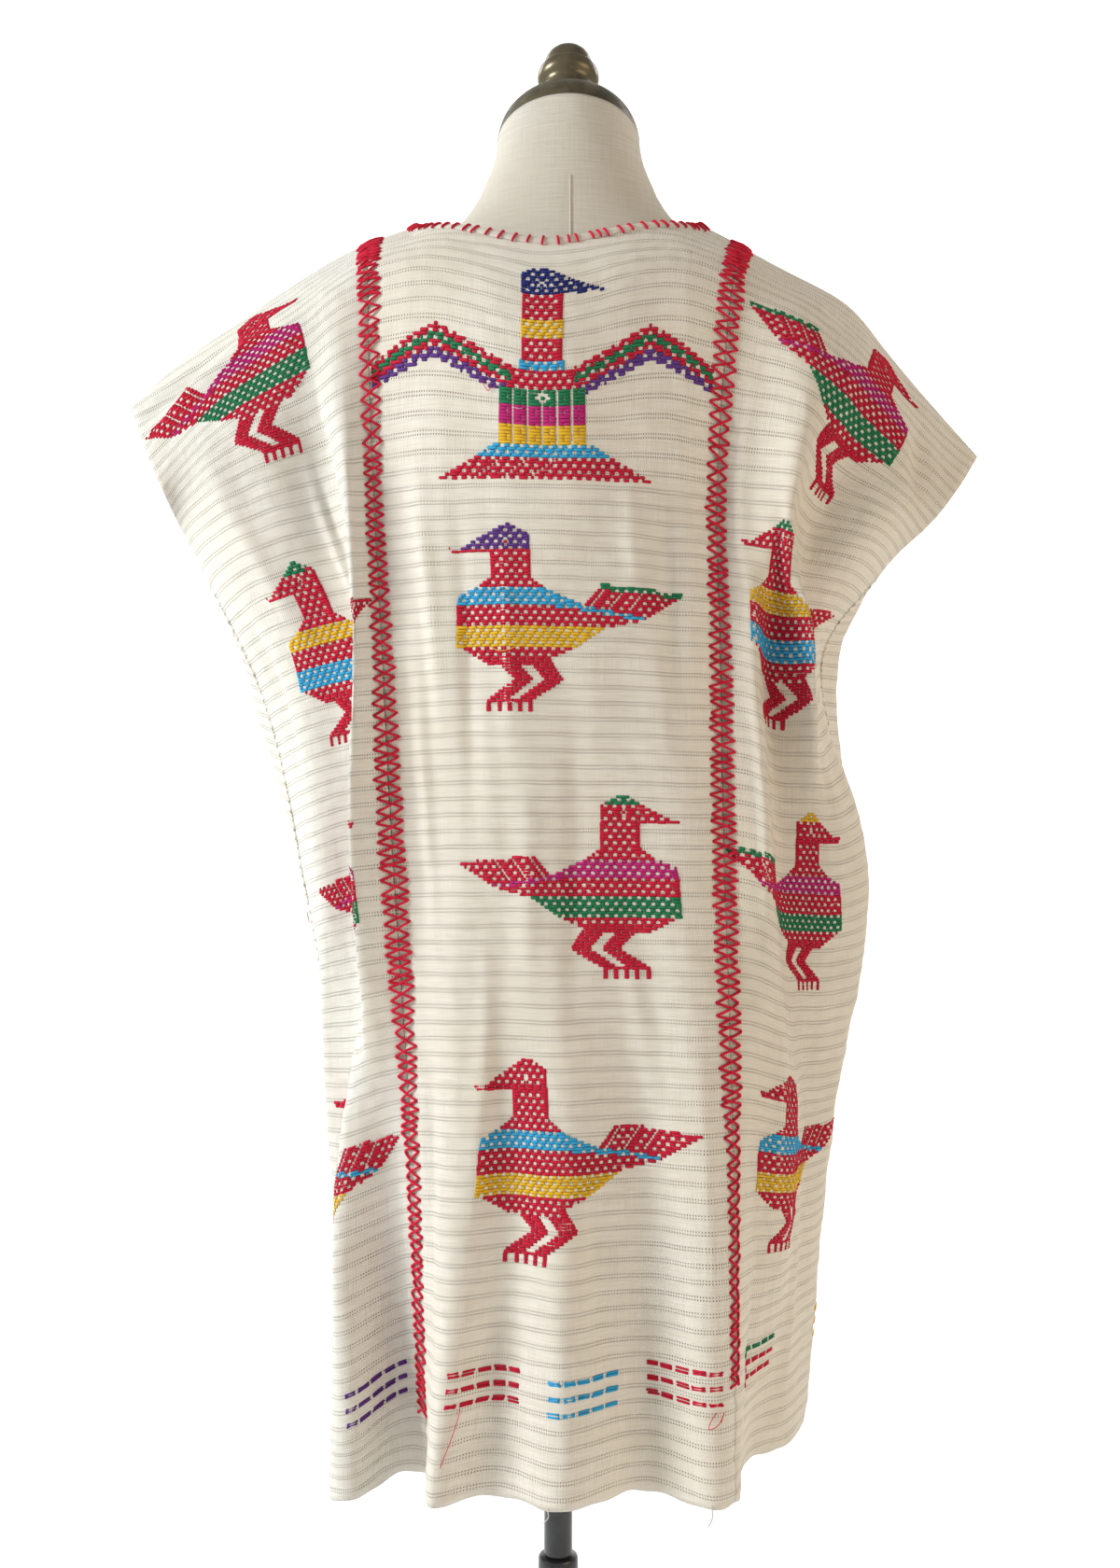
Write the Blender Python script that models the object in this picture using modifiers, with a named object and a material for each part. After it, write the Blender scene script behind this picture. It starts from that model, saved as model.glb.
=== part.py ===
"""Huipil blouse on a dress form: three handwoven webs sewn side by side, worn by a padded form.

Metres, +Z up, floor at z = 0. The high back neck faces -Y. Each web runs unbroken from the back
hem over the shoulder to the front hem, so a point of the cloth is named by its warp thread u
(across the flat cloth, 0 in the middle) and by v along the thread (0 at mid web, + to the back).
"""
import bmesh
import bpy
import numpy as np
from mathutils import Matrix, Vector

NAME = "huipil_blouse_on_dress_form"
WALL = 0.0016            # cloth thickness
GAP = 0.00025            # half the room left between two sewn edges
HALF_WIDTH = 0.390       # flat blouse, middle to side seam
SEAM = 0.145             # middle to the seam between centre and side webs
HALF_LENGTH = 0.960      # mid web to hem
NECK = 0.113             # half width of the neck opening
NECK_BACK = 0.052        # depth of the neck opening behind and in front
NECK_FRONT = 0.090
BAND = 0.006             # neck binding, height and thickness
BAND_WALL = 0.0026
SLIT = 0.234             # mid web to the foot of the armhole
SLIT_SKEW = 0.009
ROLL_LEFT = 0.048        # how far the webs have slid forward over each wing tip
ROLL_RIGHT = 0.065
NECK_ROUND = 2.4         # 2 is an ellipse, more is fuller
NECK_SET = 0.034         # how far the neck edge stands off the shoulder line
STAND_X = -0.008         # the pole stands a little off the neck
POLE = 0.011
TUBE = 0.014
COLLAR = 0.0155
BASE = 0.165
LEAN = 0.36              # slope of the neck cap, high at the back
CAP = 0.0553             # neck cap, a low dome
CAP_RISE = 0.0415

# level of the cloth, v, then height at left side, left seam, middle, right seam, right side
LEVELS = (
    ("arm", 0.240, 1.100, 1.140, 1.136, 1.129, 1.087),
    ("underarm", 0.330, 1.005, 1.043, 1.045, 1.042, 1.034),
    ("waist", 0.500, 0.840, 0.873, 0.876, 0.874, 0.866),
    ("hip", 0.720, 0.623, 0.654, 0.658, 0.656, 0.650),
    ("hem", 0.960, 0.388, 0.415, 0.420, 0.417, 0.412),
)
ACROSS = (-HALF_WIDTH, -SEAM, 0.0, SEAM, HALF_WIDTH)

# fold line, u, then x and y at the arm, underarm, waist, hip and hem levels (millimetres)
BACK = (
    ("left side", -390, -292, 10, -246, 20, -208, 24, -176, 45, -160, 52),
    ("left flank", -340, -262, -42, -222, -18, -192, -20, -185, 0, -166, 5),
    ("left slack", -295, -230, -60, -193, -34, -170, -28, -160, -30, -163, -37),
    ("left tuck", -255, -200, -62, -162, -42, -147, -42, -168, -70, -175, -84),
    ("left corner", -220, -176, -62, -142, -66, -134, -64, -164, -91, -153, -100),
    ("left ridge", -188, -164, -92, -155, -101, -157, -101, -140, -88, -132, -68),
    ("left seam", -145, -143, -85, -137, -92, -128, -92, -113, -98, -104, -78),
    ("ridge one", -92, -98, -104, -91, -108, -84, -106, -76, -124, -95, -136),
    ("valley one", -55, -64, -112, -60, -114, -55, -112, -46, -118, -60, -117),
    ("ridge two", 0, -16, -118, -15, -118, -12, -114, -7, -131, -10, -147),
    ("valley two", 80, 53, -107, 52, -110, 54, -108, 57, -112, 61, -109),
    ("ridge three", 125, 91, -92, 92, -97, 94, -103, 97, -124, 101, -138),
    ("right seam", 145, 108, -82, 110, -86, 112, -94, 117, -114, 117, -127),
    ("right edge", 180, 130, -88, 133, -95, 142, -98, 137, -86, 123, -94),
    ("right tuck", 225, 158, -106, 150, -68, 154, -60, 167, -58, 138, -42),
    ("right ridge", 270, 166, -78, 177, -86, 180, -52, 178, -16, 166, -18),
    ("right slack", 310, 180, -54, 173, -46, 204, -46, 197, 8, 183, 18),
    ("right flank", 350, 216, -56, 190, -12, 229, -22, 212, 38, 191, 60),
    ("right side", 390, 242, 2, 205, 30, 227, 22, 202, 75, 177, 95),
)
FRONT = (
    ("right front flank", 340, 248, 50, 224, 64, 226, 70, 204, 118, 184, 140),
    ("right front tuck", 280, 218, 72, 196, 98, 186, 90, 160, 124, 138, 150),
    ("right front ridge", 220, 176, 84, 158, 96, 170, 136, 148, 172, 136, 200),
    ("right front seam", 145, 118, 116, 114, 124, 110, 118, 98, 148, 88, 172),
    ("right front pleat", 70, 54, 134, 52, 138, 52, 144, 54, 176, 52, 212),
    ("front centre", 0, -14, 130, -14, 130, -12, 118, -6, 140, -4, 160),
    ("left front pleat", -70, -82, 134, -78, 138, -74, 146, -64, 180, -56, 214),
    ("left front seam", -145, -146, 114, -140, 122, -134, 118, -110, 148, -94, 172),
    ("left front ridge", -220, -202, 84, -186, 96, -184, 134, -152, 170, -136, 202),
    ("left front tuck", -280, -248, 76, -226, 92, -202, 92, -164, 120, -142, 146),
    ("left front flank", -340, -286, 48, -260, 52, -218, 62, -186, 88, -160, 98),
)
# u, x, z along the shoulder line, wing tip to wing tip
SHOULDER = (
    (-0.390, -0.342, 1.2185), (-0.325, -0.300, 1.2553), (-0.277, -0.262, 1.2819),
    (-0.224, -0.2200, 1.3105), (-0.168, -0.1755, 1.3375), (-0.110, -0.1195, 1.359),
    (0.0, -0.010, 1.372), (0.110, 0.104, 1.360), (0.160, 0.148, 1.3367), (0.207, 0.190, 1.3148),
    (0.242, 0.2196, 1.2966), (0.276, 0.2415, 1.271), (0.327, 0.2743, 1.2309),
    (0.390, 0.3195, 1.1798),
)
# u, x, y and z behind, y and z in front, one yoke's depth below the shoulder line
YOKE_DEPTH = 0.080
YOKE = (
    (-0.390, -0.312, -0.040, 1.156, 0.052, 1.160),
    (-0.295, -0.258, -0.056, 1.222, 0.062, 1.224),
    (-0.220, -0.202, -0.062, 1.267, 0.062, 1.268),
    (-0.145, -0.149, -0.066, 1.307, 0.060, 1.306),
    (-0.110, -0.115, -0.072, 1.316, 0.062, 1.318),
    (0.0, -0.015, -0.097, 1.2945, 0.085, 1.300),
    (0.110, 0.088, -0.072, 1.314, 0.062, 1.318),
    (0.145, 0.122, -0.066, 1.302, 0.060, 1.303),
    (0.220, 0.185, -0.068, 1.263, 0.064, 1.266),
    (0.295, 0.232, -0.064, 1.206, 0.070, 1.212),
    (0.390, 0.281, -0.046, 1.130, 0.058, 1.132),
)
# padded form: height, half width, depth behind, depth in front, slope of the ring
FORM = (
    (0.700, 0.138, 0.078, 0.068, 0.0), (0.706, 0.147, 0.086, 0.076, 0.0),
    (0.724, 0.153, 0.093, 0.081, 0.0), (0.770, 0.157, 0.098, 0.084, 0.0),
    (0.820, 0.157, 0.098, 0.085, 0.0), (0.880, 0.148, 0.092, 0.083, 0.0),
    (0.950, 0.130, 0.080, 0.080, 0.0), (1.010, 0.118, 0.071, 0.078, 0.0),
    (1.060, 0.121, 0.075, 0.088, 0.0), (1.110, 0.131, 0.085, 0.104, 0.0),
    (1.165, 0.140, 0.094, 0.113, 0.0), (1.210, 0.146, 0.099, 0.103, 0.0),
    (1.250, 0.156, 0.098, 0.085, 0.0), (1.280, 0.166, 0.091, 0.068, 0.0),
    (1.302, 0.164, 0.080, 0.055, 0.0), (1.320, 0.142, 0.071, 0.048, 0.0),
    (1.336, 0.118, 0.063, 0.045, 0.0), (1.351, 0.094, 0.058, 0.045, 0.0),
    (1.369, 0.076, 0.056, 0.048, 0.04), (1.387, 0.066, 0.056, 0.052, 0.10),
    (1.403, 0.059, 0.057, 0.056, 0.21), (1.4223, 0.0555, 0.0545, 0.0560, LEAN),
)

ABOVE_SLIT = (0.0, 0.11, 0.25, 0.42, 0.66, 1.0)
BELOW_SLIT = 14
NECK_TURNS = 14
CENTRE_COLUMNS = ((-0.145 + GAP, -0.140, -0.128)
                  + tuple(-NECK * np.cos(np.pi * k / NECK_TURNS) for k in range(NECK_TURNS + 1))
                  + (0.128, 0.140, 0.145 - GAP))
SIDE_COLUMNS = (0.145 + GAP, 0.150, 0.160, 0.175, 0.190, 0.205, 0.220, 0.235, 0.250, 0.265, 0.280,
                0.295, 0.310, 0.325, 0.340, 0.355, 0.368, 0.379, 0.386, 0.390 - GAP)


def smooth_curve(knots, values, where, period=None):
    """Read a curve with even bending through the knots; it closes on itself over a period."""
    k = np.asarray(knots, float)
    y = np.asarray(values, float)
    if period:
        where = k[0] + np.mod(where - k[0], period)
        k = np.append(k, k[0] + period)
        y = np.append(y, y[:1], axis=0)
    n = len(k)
    h = np.diff(k)
    slope = np.diff(y, axis=0) / h[:, None]
    a = np.zeros((n, n))
    b = np.zeros_like(y)
    for i in range(1, n - 1):
        a[i, i - 1:i + 2] = h[i - 1], 2 * (h[i - 1] + h[i]), h[i]
        b[i] = 6 * (slope[i] - slope[i - 1])
    if period:
        a[0, 0], a[0, -1] = 1, -1
        a[-1, 0], a[-1, 1], a[-1, -2], a[-1, -1] = 2 * h[0], h[0], h[-1], 2 * h[-1]
        b[-1] = 6 * (slope[0] - slope[-1])
    else:
        a[0, 0] = a[-1, -1] = 1
    bend = np.linalg.solve(a, b)
    i = np.clip(np.searchsorted(k, where, side="right") - 1, 0, n - 2)
    past = (where - k[i])[:, None]
    left = (k[i + 1] - where)[:, None]
    step = h[i][:, None]
    return ((bend[i] * left ** 3 + bend[i + 1] * past ** 3) / (6 * step)
            + (y[i] / step - bend[i] * step / 6) * left
            + (y[i + 1] / step - bend[i + 1] * step / 6) * past)


def ease(x, low, high):
    t = np.clip((x - low) / (high - low), 0, 1)
    return t * t * (3 - 2 * t)


def shoulder_v(u):
    """Where on the web the shoulder line falls: towards the back on the drooping wings."""
    reach = np.clip((np.abs(u) - 0.110) / (HALF_WIDTH - 0.110), 0, None)
    return np.where(u < 0, ROLL_LEFT, ROLL_RIGHT) * reach ** 1.5


def slit_v(u):
    return SLIT + SLIT_SKEW * u / HALF_WIDTH


def thread_points(u, back):
    """Each thread's points at shoulder, yoke and the five levels, with their distance along it."""
    side = -1 if back else 1
    top = np.array(SHOULDER)
    ridge = smooth_curve(top[:, 0], top[:, 1:], u)
    yoke = np.array(YOKE)
    below = smooth_curve(yoke[:, 0], yoke[:, [1, 2, 3] if back else [1, 4, 5]], u)
    offset = side * NECK_SET * np.clip(1 - (u / NECK) ** 2, 0, None)
    points = [np.stack([ridge[:, 0], offset, ridge[:, 1]], 1), below]
    along = [0 * u, YOKE_DEPTH + 0 * u]
    around = [row[1] / 1000 for row in BACK] + [2 * HALF_WIDTH - row[1] / 1000 for row in FRONT]
    plan = np.array([row[2:] for row in BACK + FRONT]) / 1000
    plan = smooth_curve(around, plan, u if back else 2 * HALF_WIDTH - u, 4 * HALF_WIDTH)
    for i, level in enumerate(LEVELS):
        height = smooth_curve(ACROSS, np.array(level[2:])[:, None], u)[:, 0]
        points.append(np.stack([plan[:, 2 * i], plan[:, 2 * i + 1], height], 1))
        v = slit_v(u) if i == 0 else level[1] + 0 * u
        along.append(v + side * shoulder_v(u))
    return np.array(points), np.array(along)


def cloth(u, v, back):
    """Middle of the cloth at thread u and place v, for arrays of either."""
    u = np.asarray(u, float)
    v = np.asarray(v, float)
    points, along = thread_points(u, back)
    h = np.diff(along, axis=0)[:, :, None]
    chord = np.diff(points, axis=0) / h
    slope = np.concatenate([chord[:1], chord])
    slope[1:-1] = (chord[:-1] * h[1:] + chord[1:] * h[:-1]) / (h[1:] + h[:-1])
    near_side = ease(np.abs(u), 0.30, HALF_WIDTH)[:, None]
    slope[2] = slope[2] * (1 - near_side) + chord[2] * near_side
    slope[0, :, 1] = -0.97 if back else 0.97
    run = np.abs(v - shoulder_v(u))
    i = np.clip(np.sum(run[None] >= along[1:-1], axis=0), 0, len(points) - 2)
    k = np.arange(len(u))
    step = h[i, k]
    t = (run - along[i, k])[:, None] / step
    return (points[i, k] * (2 * t ** 3 - 3 * t ** 2 + 1)
            + slope[i, k] * step * (t ** 3 - 2 * t ** 2 + t)
            + points[i + 1, k] * (3 * t ** 2 - 2 * t ** 3)
            + slope[i + 1, k] * step * (t ** 3 - t ** 2))


def opening_v(u, back):
    """Place on thread u where the cloth starts: the neck edge, or the shoulder line beyond it."""
    depth = NECK_BACK if back else -NECK_FRONT
    neck = depth * np.sqrt(np.clip(1 - np.abs(u / NECK) ** NECK_ROUND, 0, None))
    return np.where(np.abs(u) < NECK - 1e-6, neck, shoulder_v(u))


def web_rows(u, back):
    """The v of every row of the web on thread u, from shoulder or neck edge to hem."""
    sign = 1 if back else -1
    start = opening_v(u, back)
    slit = sign * slit_v(u)
    rows = [start + (slit - start) * g for g in ABOVE_SLIT]
    rows += [slit + (sign * HALF_LENGTH - slit) * (k + 1) / BELOW_SLIT for k in range(BELOW_SLIT)]
    return rows


def material(name, colour, roughness, metallic=0.0):
    made = bpy.data.materials.new(name)
    made.use_nodes = True
    shader = made.node_tree.nodes["Principled BSDF"]
    shader.inputs["Base Color"].default_value = (*colour, 1.0)
    shader.inputs["Roughness"].default_value = roughness
    shader.inputs["Metallic"].default_value = metallic
    return made


def keep(bm, name, slot, smooth=True):
    """Turn the working mesh into a named object of the part."""
    mesh = bpy.data.meshes.new(name)
    bm.to_mesh(mesh)
    bm.free()
    mesh.materials.append(slot)
    if smooth:
        mesh.shade_smooth()
    made = bpy.data.objects.new(name, mesh)
    part.objects.link(made)
    return made


def web(name, columns, slot):
    """One woven web: a grid laid on the cloth surface, then given its wall."""
    u = np.array(columns)
    back, front = web_rows(u, True), web_rows(u, False)
    rows = back[::-1] + front
    bm = bmesh.new()
    bmesh.ops.create_grid(bm, x_segments=len(u) - 1, y_segments=len(rows) - 1, size=1.0)
    place = [cloth(u, v, j < len(back)) for j, v in enumerate(rows)]
    fold = []
    for vert in bm.verts:
        i = round((vert.co.x + 1) / 2 * (len(u) - 1))
        j = round((vert.co.y + 1) / 2 * (len(rows) - 1))
        vert.tag = j in (len(back) - 1, len(back))
        vert.co = Vector(place[j][i])
        if vert.tag:
            fold.append(vert)
    across_fold = [f for f in bm.faces if all(v.tag for v in f.verts)]
    bmesh.ops.delete(bm, geom=across_fold, context="FACES_ONLY")
    bmesh.ops.remove_doubles(bm, verts=fold, dist=1e-5)
    bmesh.ops.recalc_face_normals(bm, faces=bm.faces)
    made = keep(bm, name, slot)
    wall = made.modifiers.new("wall", "SOLIDIFY")
    wall.thickness = WALL
    wall.offset = 0.0
    return made


def binding(name, slot):
    """Folded band sewn round the neck opening, clear of the cloth edge it stands for."""
    steps = 2 * NECK_TURNS
    turn = np.linspace(0, 2 * np.pi, steps, endpoint=False)

    u = NECK * np.cos(turn)
    behind = np.sin(turn) >= 0
    v = np.where(behind, opening_v(u, True), opening_v(u, False))

    def neck_point(scale):
        both = [cloth(scale * u, scale * v, back) for back in (True, False)]
        return np.where(behind[:, None], *both)

    edge = neck_point(1.0)
    inner = neck_point(0.93)
    along = np.roll(edge, -1, axis=0) - np.roll(edge, 1, axis=0)
    along /= np.linalg.norm(along, axis=1)[:, None]
    up = inner - edge
    up -= along * np.sum(up * along, axis=1)[:, None]
    up /= np.linalg.norm(up, axis=1)[:, None]
    out = np.cross(along, up)
    half = BAND_WALL / 2
    section = ((0.0005, -half), (0.0005, half), (BAND - 0.001, half), (BAND, half - 0.001),
               (BAND, -half + 0.001), (BAND - 0.001, -half))
    bm = bmesh.new()
    rings = [[bm.verts.new(edge[i] + up[i] * a + out[i] * b) for a, b in section]
             for i in range(steps)]
    for i in range(steps):
        near, far = rings[i], rings[(i + 1) % steps]
        for j in range(len(section)):
            k = (j + 1) % len(section)
            bm.faces.new((near[j], near[k], far[k], far[j]))
    bmesh.ops.recalc_face_normals(bm, faces=bm.faces)
    return keep(bm, name, slot)


def padded_form(name, slot, points=36):
    """The torso and neck: level rings, wider at the shoulders, closed above and below."""
    bm = bmesh.new()
    rings = []
    for z, width, behind, before, slope in FORM:
        ring = []
        for k in range(points):
            a = 2 * np.pi * k / points
            y = np.sin(a) * (before if np.sin(a) > 0 else behind)
            ring.append(bm.verts.new((width * np.cos(a), y, z - slope * y)))
        rings.append(ring)
    for low, high in zip(rings, rings[1:]):
        for k in range(points):
            m = (k + 1) % points
            bm.faces.new((low[k], low[m], high[m], high[k]))
    bm.faces.new(rings[0][::-1])
    bm.faces.new(rings[-1])
    bmesh.ops.recalc_face_normals(bm, faces=bm.faces)
    return keep(bm, name, slot)


def turned(name, profile, slot, foot, slope=0.0, steps=32):
    """A turned piece from (radius, height) points, outer side top to bottom, stood at foot."""
    bm = bmesh.new()
    line = [bm.verts.new((r, 0, z)) for r, z in profile]
    edges = [bm.edges.new(pair) for pair in zip(line, line[1:])]
    bmesh.ops.spin(bm, geom=line + edges, cent=(0, 0, 0), axis=(0, 0, 1), steps=steps,
                   angle=2 * np.pi, use_merge=True)
    bmesh.ops.remove_doubles(bm, verts=bm.verts, dist=1e-6)
    bmesh.ops.recalc_face_normals(bm, faces=bm.faces)
    tilt = Matrix.Rotation(-np.arctan(slope), 4, "X")
    bmesh.ops.transform(bm, matrix=Matrix.Translation(foot) @ tilt, verts=bm.verts)
    return keep(bm, name, slot)


for old in list(bpy.data.objects):
    bpy.data.objects.remove(old, do_unlink=True)
part = bpy.data.collections.new(NAME)
bpy.context.scene.collection.children.link(part)

centre_cotton = material("centre_web_cotton", (0.86, 0.82, 0.74), 0.85)
left_cotton = material("left_web_cotton", (0.85, 0.82, 0.75), 0.85)
right_cotton = material("right_web_cotton", (0.85, 0.81, 0.73), 0.85)
binding_cotton = material("neck_binding_cotton", (0.85, 0.80, 0.72), 0.85)
form_linen = material("form_linen", (0.80, 0.77, 0.70), 0.9)
bronze_cap = material("bronze_cap", (0.16, 0.13, 0.09), 0.35, 0.7)
bronze_knob = material("bronze_knob", (0.17, 0.14, 0.10), 0.32, 0.7)
black_pole = material("black_pole", (0.02, 0.02, 0.02), 0.35, 0.5)
black_collar = material("black_collar", (0.02, 0.02, 0.02), 0.4)
black_tube = material("black_tube", (0.02, 0.02, 0.02), 0.35, 0.5)
black_base = material("black_base", (0.025, 0.025, 0.025), 0.45)

web("centre_panel", CENTRE_COLUMNS, centre_cotton)
web("left_panel", [-c for c in reversed(SIDE_COLUMNS)], left_cotton)
web("right_panel", SIDE_COLUMNS, right_cotton)
binding("neck_binding", binding_cotton)
padded_form("form_body", form_linen)

rim = (0.0, 0.0, 1.4235)
dome = [(CAP * np.cos(a), CAP_RISE * np.sin(a)) for a in np.linspace(0.997, 0.0, 9)]
turned("neck_cap", [(0.0, dome[0][1]), *dome, (CAP - 0.0007, -0.0008), (0.0, -0.0008)],
       bronze_cap, rim, LEAN)
top = Matrix.Rotation(-np.arctan(LEAN), 3, "X") @ Vector((0, 0, dome[0][1] + 0.0003))
turned("neck_finial", ((0.0, 0.0578), (0.0110, 0.0552), (0.0180, 0.0478), (0.0192, 0.0430),
       (0.0190, 0.0395), (0.0232, 0.0350), (0.0245, 0.0315), (0.0245, 0.0275), (0.0228, 0.0240),
       (0.0200, 0.0215), (0.0190, 0.0180), (0.0196, 0.0120), (0.0215, 0.0060), (0.0235, 0.0020),
       (0.0232, 0.0), (0.0, 0.0)), bronze_knob, Vector(rim) + top, LEAN)

turned("pole", ((0.0, 0.3764), (POLE, 0.3764), (POLE, 0.0), (0.0, 0.0)),
       black_pole, (STAND_X, 0, 0.3233), steps=24)
turned("pole_collar", ((0.0, 0.033), (COLLAR - 0.002, 0.033), (COLLAR, 0.031), (COLLAR, 0.002),
                       (COLLAR - 0.002, 0.0), (0.0, 0.0)),
       black_collar, (STAND_X, 0, 0.290), steps=24)
turned("pole_tube", ((0.0, 0.2624), (TUBE, 0.2624), (TUBE, 0.0), (0.0, 0.0)),
       black_tube, (STAND_X, 0, 0.0273), steps=24)
turned("stand_base", ((0.0, 0.027), (0.024, 0.027), (0.030, 0.022), (0.060, 0.019), (0.140, 0.015),
                      (BASE - 0.004, 0.011), (BASE, 0.007), (BASE, 0.002), (BASE - 0.002, 0.0),
                      (0.0, 0.0)),
       black_base, (STAND_X, 0, 0.0), steps=48)
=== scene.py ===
"""Looks of the huipil blouse on its dress form: woven webs, brocaded birds, stitching, stand.

Each web is named by its threads: u runs across the flat blouse, 0 in the middle, and v runs along
the warp, 0 at mid web, + down the back and - down the front. Everything that is woven or sewn is
placed by u and v on the cloth, so it follows every fold.
"""
import bmesh
import bpy
import numpy as np
from mathutils import Matrix, Vector


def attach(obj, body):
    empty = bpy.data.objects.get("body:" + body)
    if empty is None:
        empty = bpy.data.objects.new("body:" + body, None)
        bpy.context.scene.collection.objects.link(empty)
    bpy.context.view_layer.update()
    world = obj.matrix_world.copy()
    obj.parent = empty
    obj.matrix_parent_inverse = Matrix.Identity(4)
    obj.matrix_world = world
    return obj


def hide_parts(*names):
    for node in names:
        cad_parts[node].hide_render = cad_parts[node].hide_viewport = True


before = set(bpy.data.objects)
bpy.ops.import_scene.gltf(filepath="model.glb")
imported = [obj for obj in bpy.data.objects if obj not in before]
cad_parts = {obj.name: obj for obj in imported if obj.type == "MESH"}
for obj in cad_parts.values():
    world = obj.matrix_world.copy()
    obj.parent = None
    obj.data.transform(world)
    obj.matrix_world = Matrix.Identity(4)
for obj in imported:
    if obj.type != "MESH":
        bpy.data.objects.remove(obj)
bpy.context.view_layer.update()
rng = np.random.default_rng(11)

GAP = 0.00025            # half the room left between two sewn edges
HALF_WIDTH = 0.390       # flat blouse, middle to side seam
SEAM = 0.145             # middle to the seam between centre and side webs
HALF_LENGTH = 0.960      # mid web to hem
NECK = 0.113             # half width of the neck opening
NECK_BACK = 0.052        # depth of the neck opening, behind and in front
NECK_FRONT = 0.090
BAND = 0.006             # neck binding, height and thickness
SLIT = 0.234             # mid web to the foot of the armhole
SLIT_SKEW = 0.009        # how much lower that is on the right, and higher on the left
WING = 0.110             # middle to where the shoulder line starts to slide forward
ROLL_LEFT = 0.048        # how far the webs have slid forward over each sleeve end
ROLL_RIGHT = 0.065
NECK_ROUND = 2.4         # 2 is an ellipse, more is fuller
NECK_SET = 0.034         # how far the neck edge stands off the shoulder line
FLANK = 0.30             # middle to where the cloth hangs straight from the armhole
SHOULDER_TURN = 0.97     # how flat the cloth leaves the shoulder line
STAND_X = -0.008         # the pole stands a little off the neck
POLE = 0.011             # pole, its tube and its collar, half thickness
TUBE = 0.014
COLLAR = 0.0155
LEAN = 0.36              # slope of the neck cap, high at the back
CAP = 0.0553             # neck cap, a low dome: half width and full height
CAP_RISE = 0.0415

# level of the cloth, v, then height at left side, left seam, middle, right seam, right side
LEVELS = (
    ("arm", 0.240, 1.100, 1.140, 1.136, 1.129, 1.087),
    ("underarm", 0.330, 1.005, 1.043, 1.045, 1.042, 1.034),
    ("waist", 0.500, 0.840, 0.873, 0.876, 0.874, 0.866),
    ("hip", 0.720, 0.623, 0.654, 0.658, 0.656, 0.650),
    ("hem", 0.960, 0.388, 0.415, 0.420, 0.417, 0.412),
)
ACROSS = (-HALF_WIDTH, -SEAM, 0.0, SEAM, HALF_WIDTH)

# fold line, u, then x and y at the arm, underarm, waist, hip and hem levels (millimetres)
BACK = (
    ("left side", -390, -292, 10, -246, 20, -208, 24, -176, 45, -160, 52),
    ("left flank", -340, -262, -42, -222, -18, -192, -20, -185, 0, -166, 5),
    ("left slack", -295, -230, -60, -193, -34, -170, -28, -160, -30, -163, -37),
    ("left tuck", -255, -200, -62, -162, -42, -147, -42, -168, -70, -175, -84),
    ("left corner", -220, -176, -62, -142, -66, -134, -64, -164, -91, -153, -100),
    ("left ridge", -188, -164, -92, -155, -101, -157, -101, -140, -88, -132, -68),
    ("left seam", -145, -143, -85, -137, -92, -128, -92, -113, -98, -104, -78),
    ("ridge one", -92, -98, -104, -91, -108, -84, -106, -76, -124, -95, -136),
    ("valley one", -55, -64, -112, -60, -114, -55, -112, -46, -118, -60, -117),
    ("ridge two", 0, -16, -118, -15, -118, -12, -114, -7, -131, -10, -147),
    ("valley two", 80, 53, -107, 52, -110, 54, -108, 57, -112, 61, -109),
    ("ridge three", 125, 91, -92, 92, -97, 94, -103, 97, -124, 101, -138),
    ("right seam", 145, 108, -82, 110, -86, 112, -94, 117, -114, 117, -127),
    ("right edge", 180, 130, -88, 133, -95, 142, -98, 137, -86, 123, -94),
    ("right tuck", 225, 158, -106, 150, -68, 154, -60, 167, -58, 138, -42),
    ("right ridge", 270, 166, -78, 177, -86, 180, -52, 178, -16, 166, -18),
    ("right slack", 310, 180, -54, 173, -46, 204, -46, 197, 8, 183, 18),
    ("right flank", 350, 216, -56, 190, -12, 229, -22, 212, 38, 191, 60),
    ("right side", 390, 242, 2, 205, 30, 227, 22, 202, 75, 177, 95),
)
FRONT = (
    ("right front flank", 340, 248, 50, 224, 64, 226, 70, 204, 118, 184, 140),
    ("right front tuck", 280, 218, 72, 196, 98, 186, 90, 160, 124, 138, 150),
    ("right front ridge", 220, 176, 84, 158, 96, 170, 136, 148, 172, 136, 200),
    ("right front seam", 145, 118, 116, 114, 124, 110, 118, 98, 148, 88, 172),
    ("right front pleat", 70, 54, 134, 52, 138, 52, 144, 54, 176, 52, 212),
    ("front centre", 0, -14, 130, -14, 130, -12, 118, -6, 140, -4, 160),
    ("left front pleat", -70, -82, 134, -78, 138, -74, 146, -64, 180, -56, 214),
    ("left front seam", -145, -146, 114, -140, 122, -134, 118, -110, 148, -94, 172),
    ("left front ridge", -220, -202, 84, -186, 96, -184, 134, -152, 170, -136, 202),
    ("left front tuck", -280, -248, 76, -226, 92, -202, 92, -164, 120, -142, 146),
    ("left front flank", -340, -286, 48, -260, 52, -218, 62, -186, 88, -160, 98),
)
# u, x, z along the shoulder line, wing tip to wing tip
SHOULDER = (
    (-0.390, -0.342, 1.2185), (-0.325, -0.300, 1.2553), (-0.277, -0.262, 1.2819),
    (-0.224, -0.2200, 1.3105), (-0.168, -0.1755, 1.3375), (-0.110, -0.1195, 1.359),
    (0.0, -0.010, 1.372), (0.110, 0.104, 1.360), (0.160, 0.148, 1.3367), (0.207, 0.190, 1.3148),
    (0.242, 0.2196, 1.2966), (0.276, 0.2415, 1.271), (0.327, 0.2743, 1.2309),
    (0.390, 0.3195, 1.1798),
)
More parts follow.
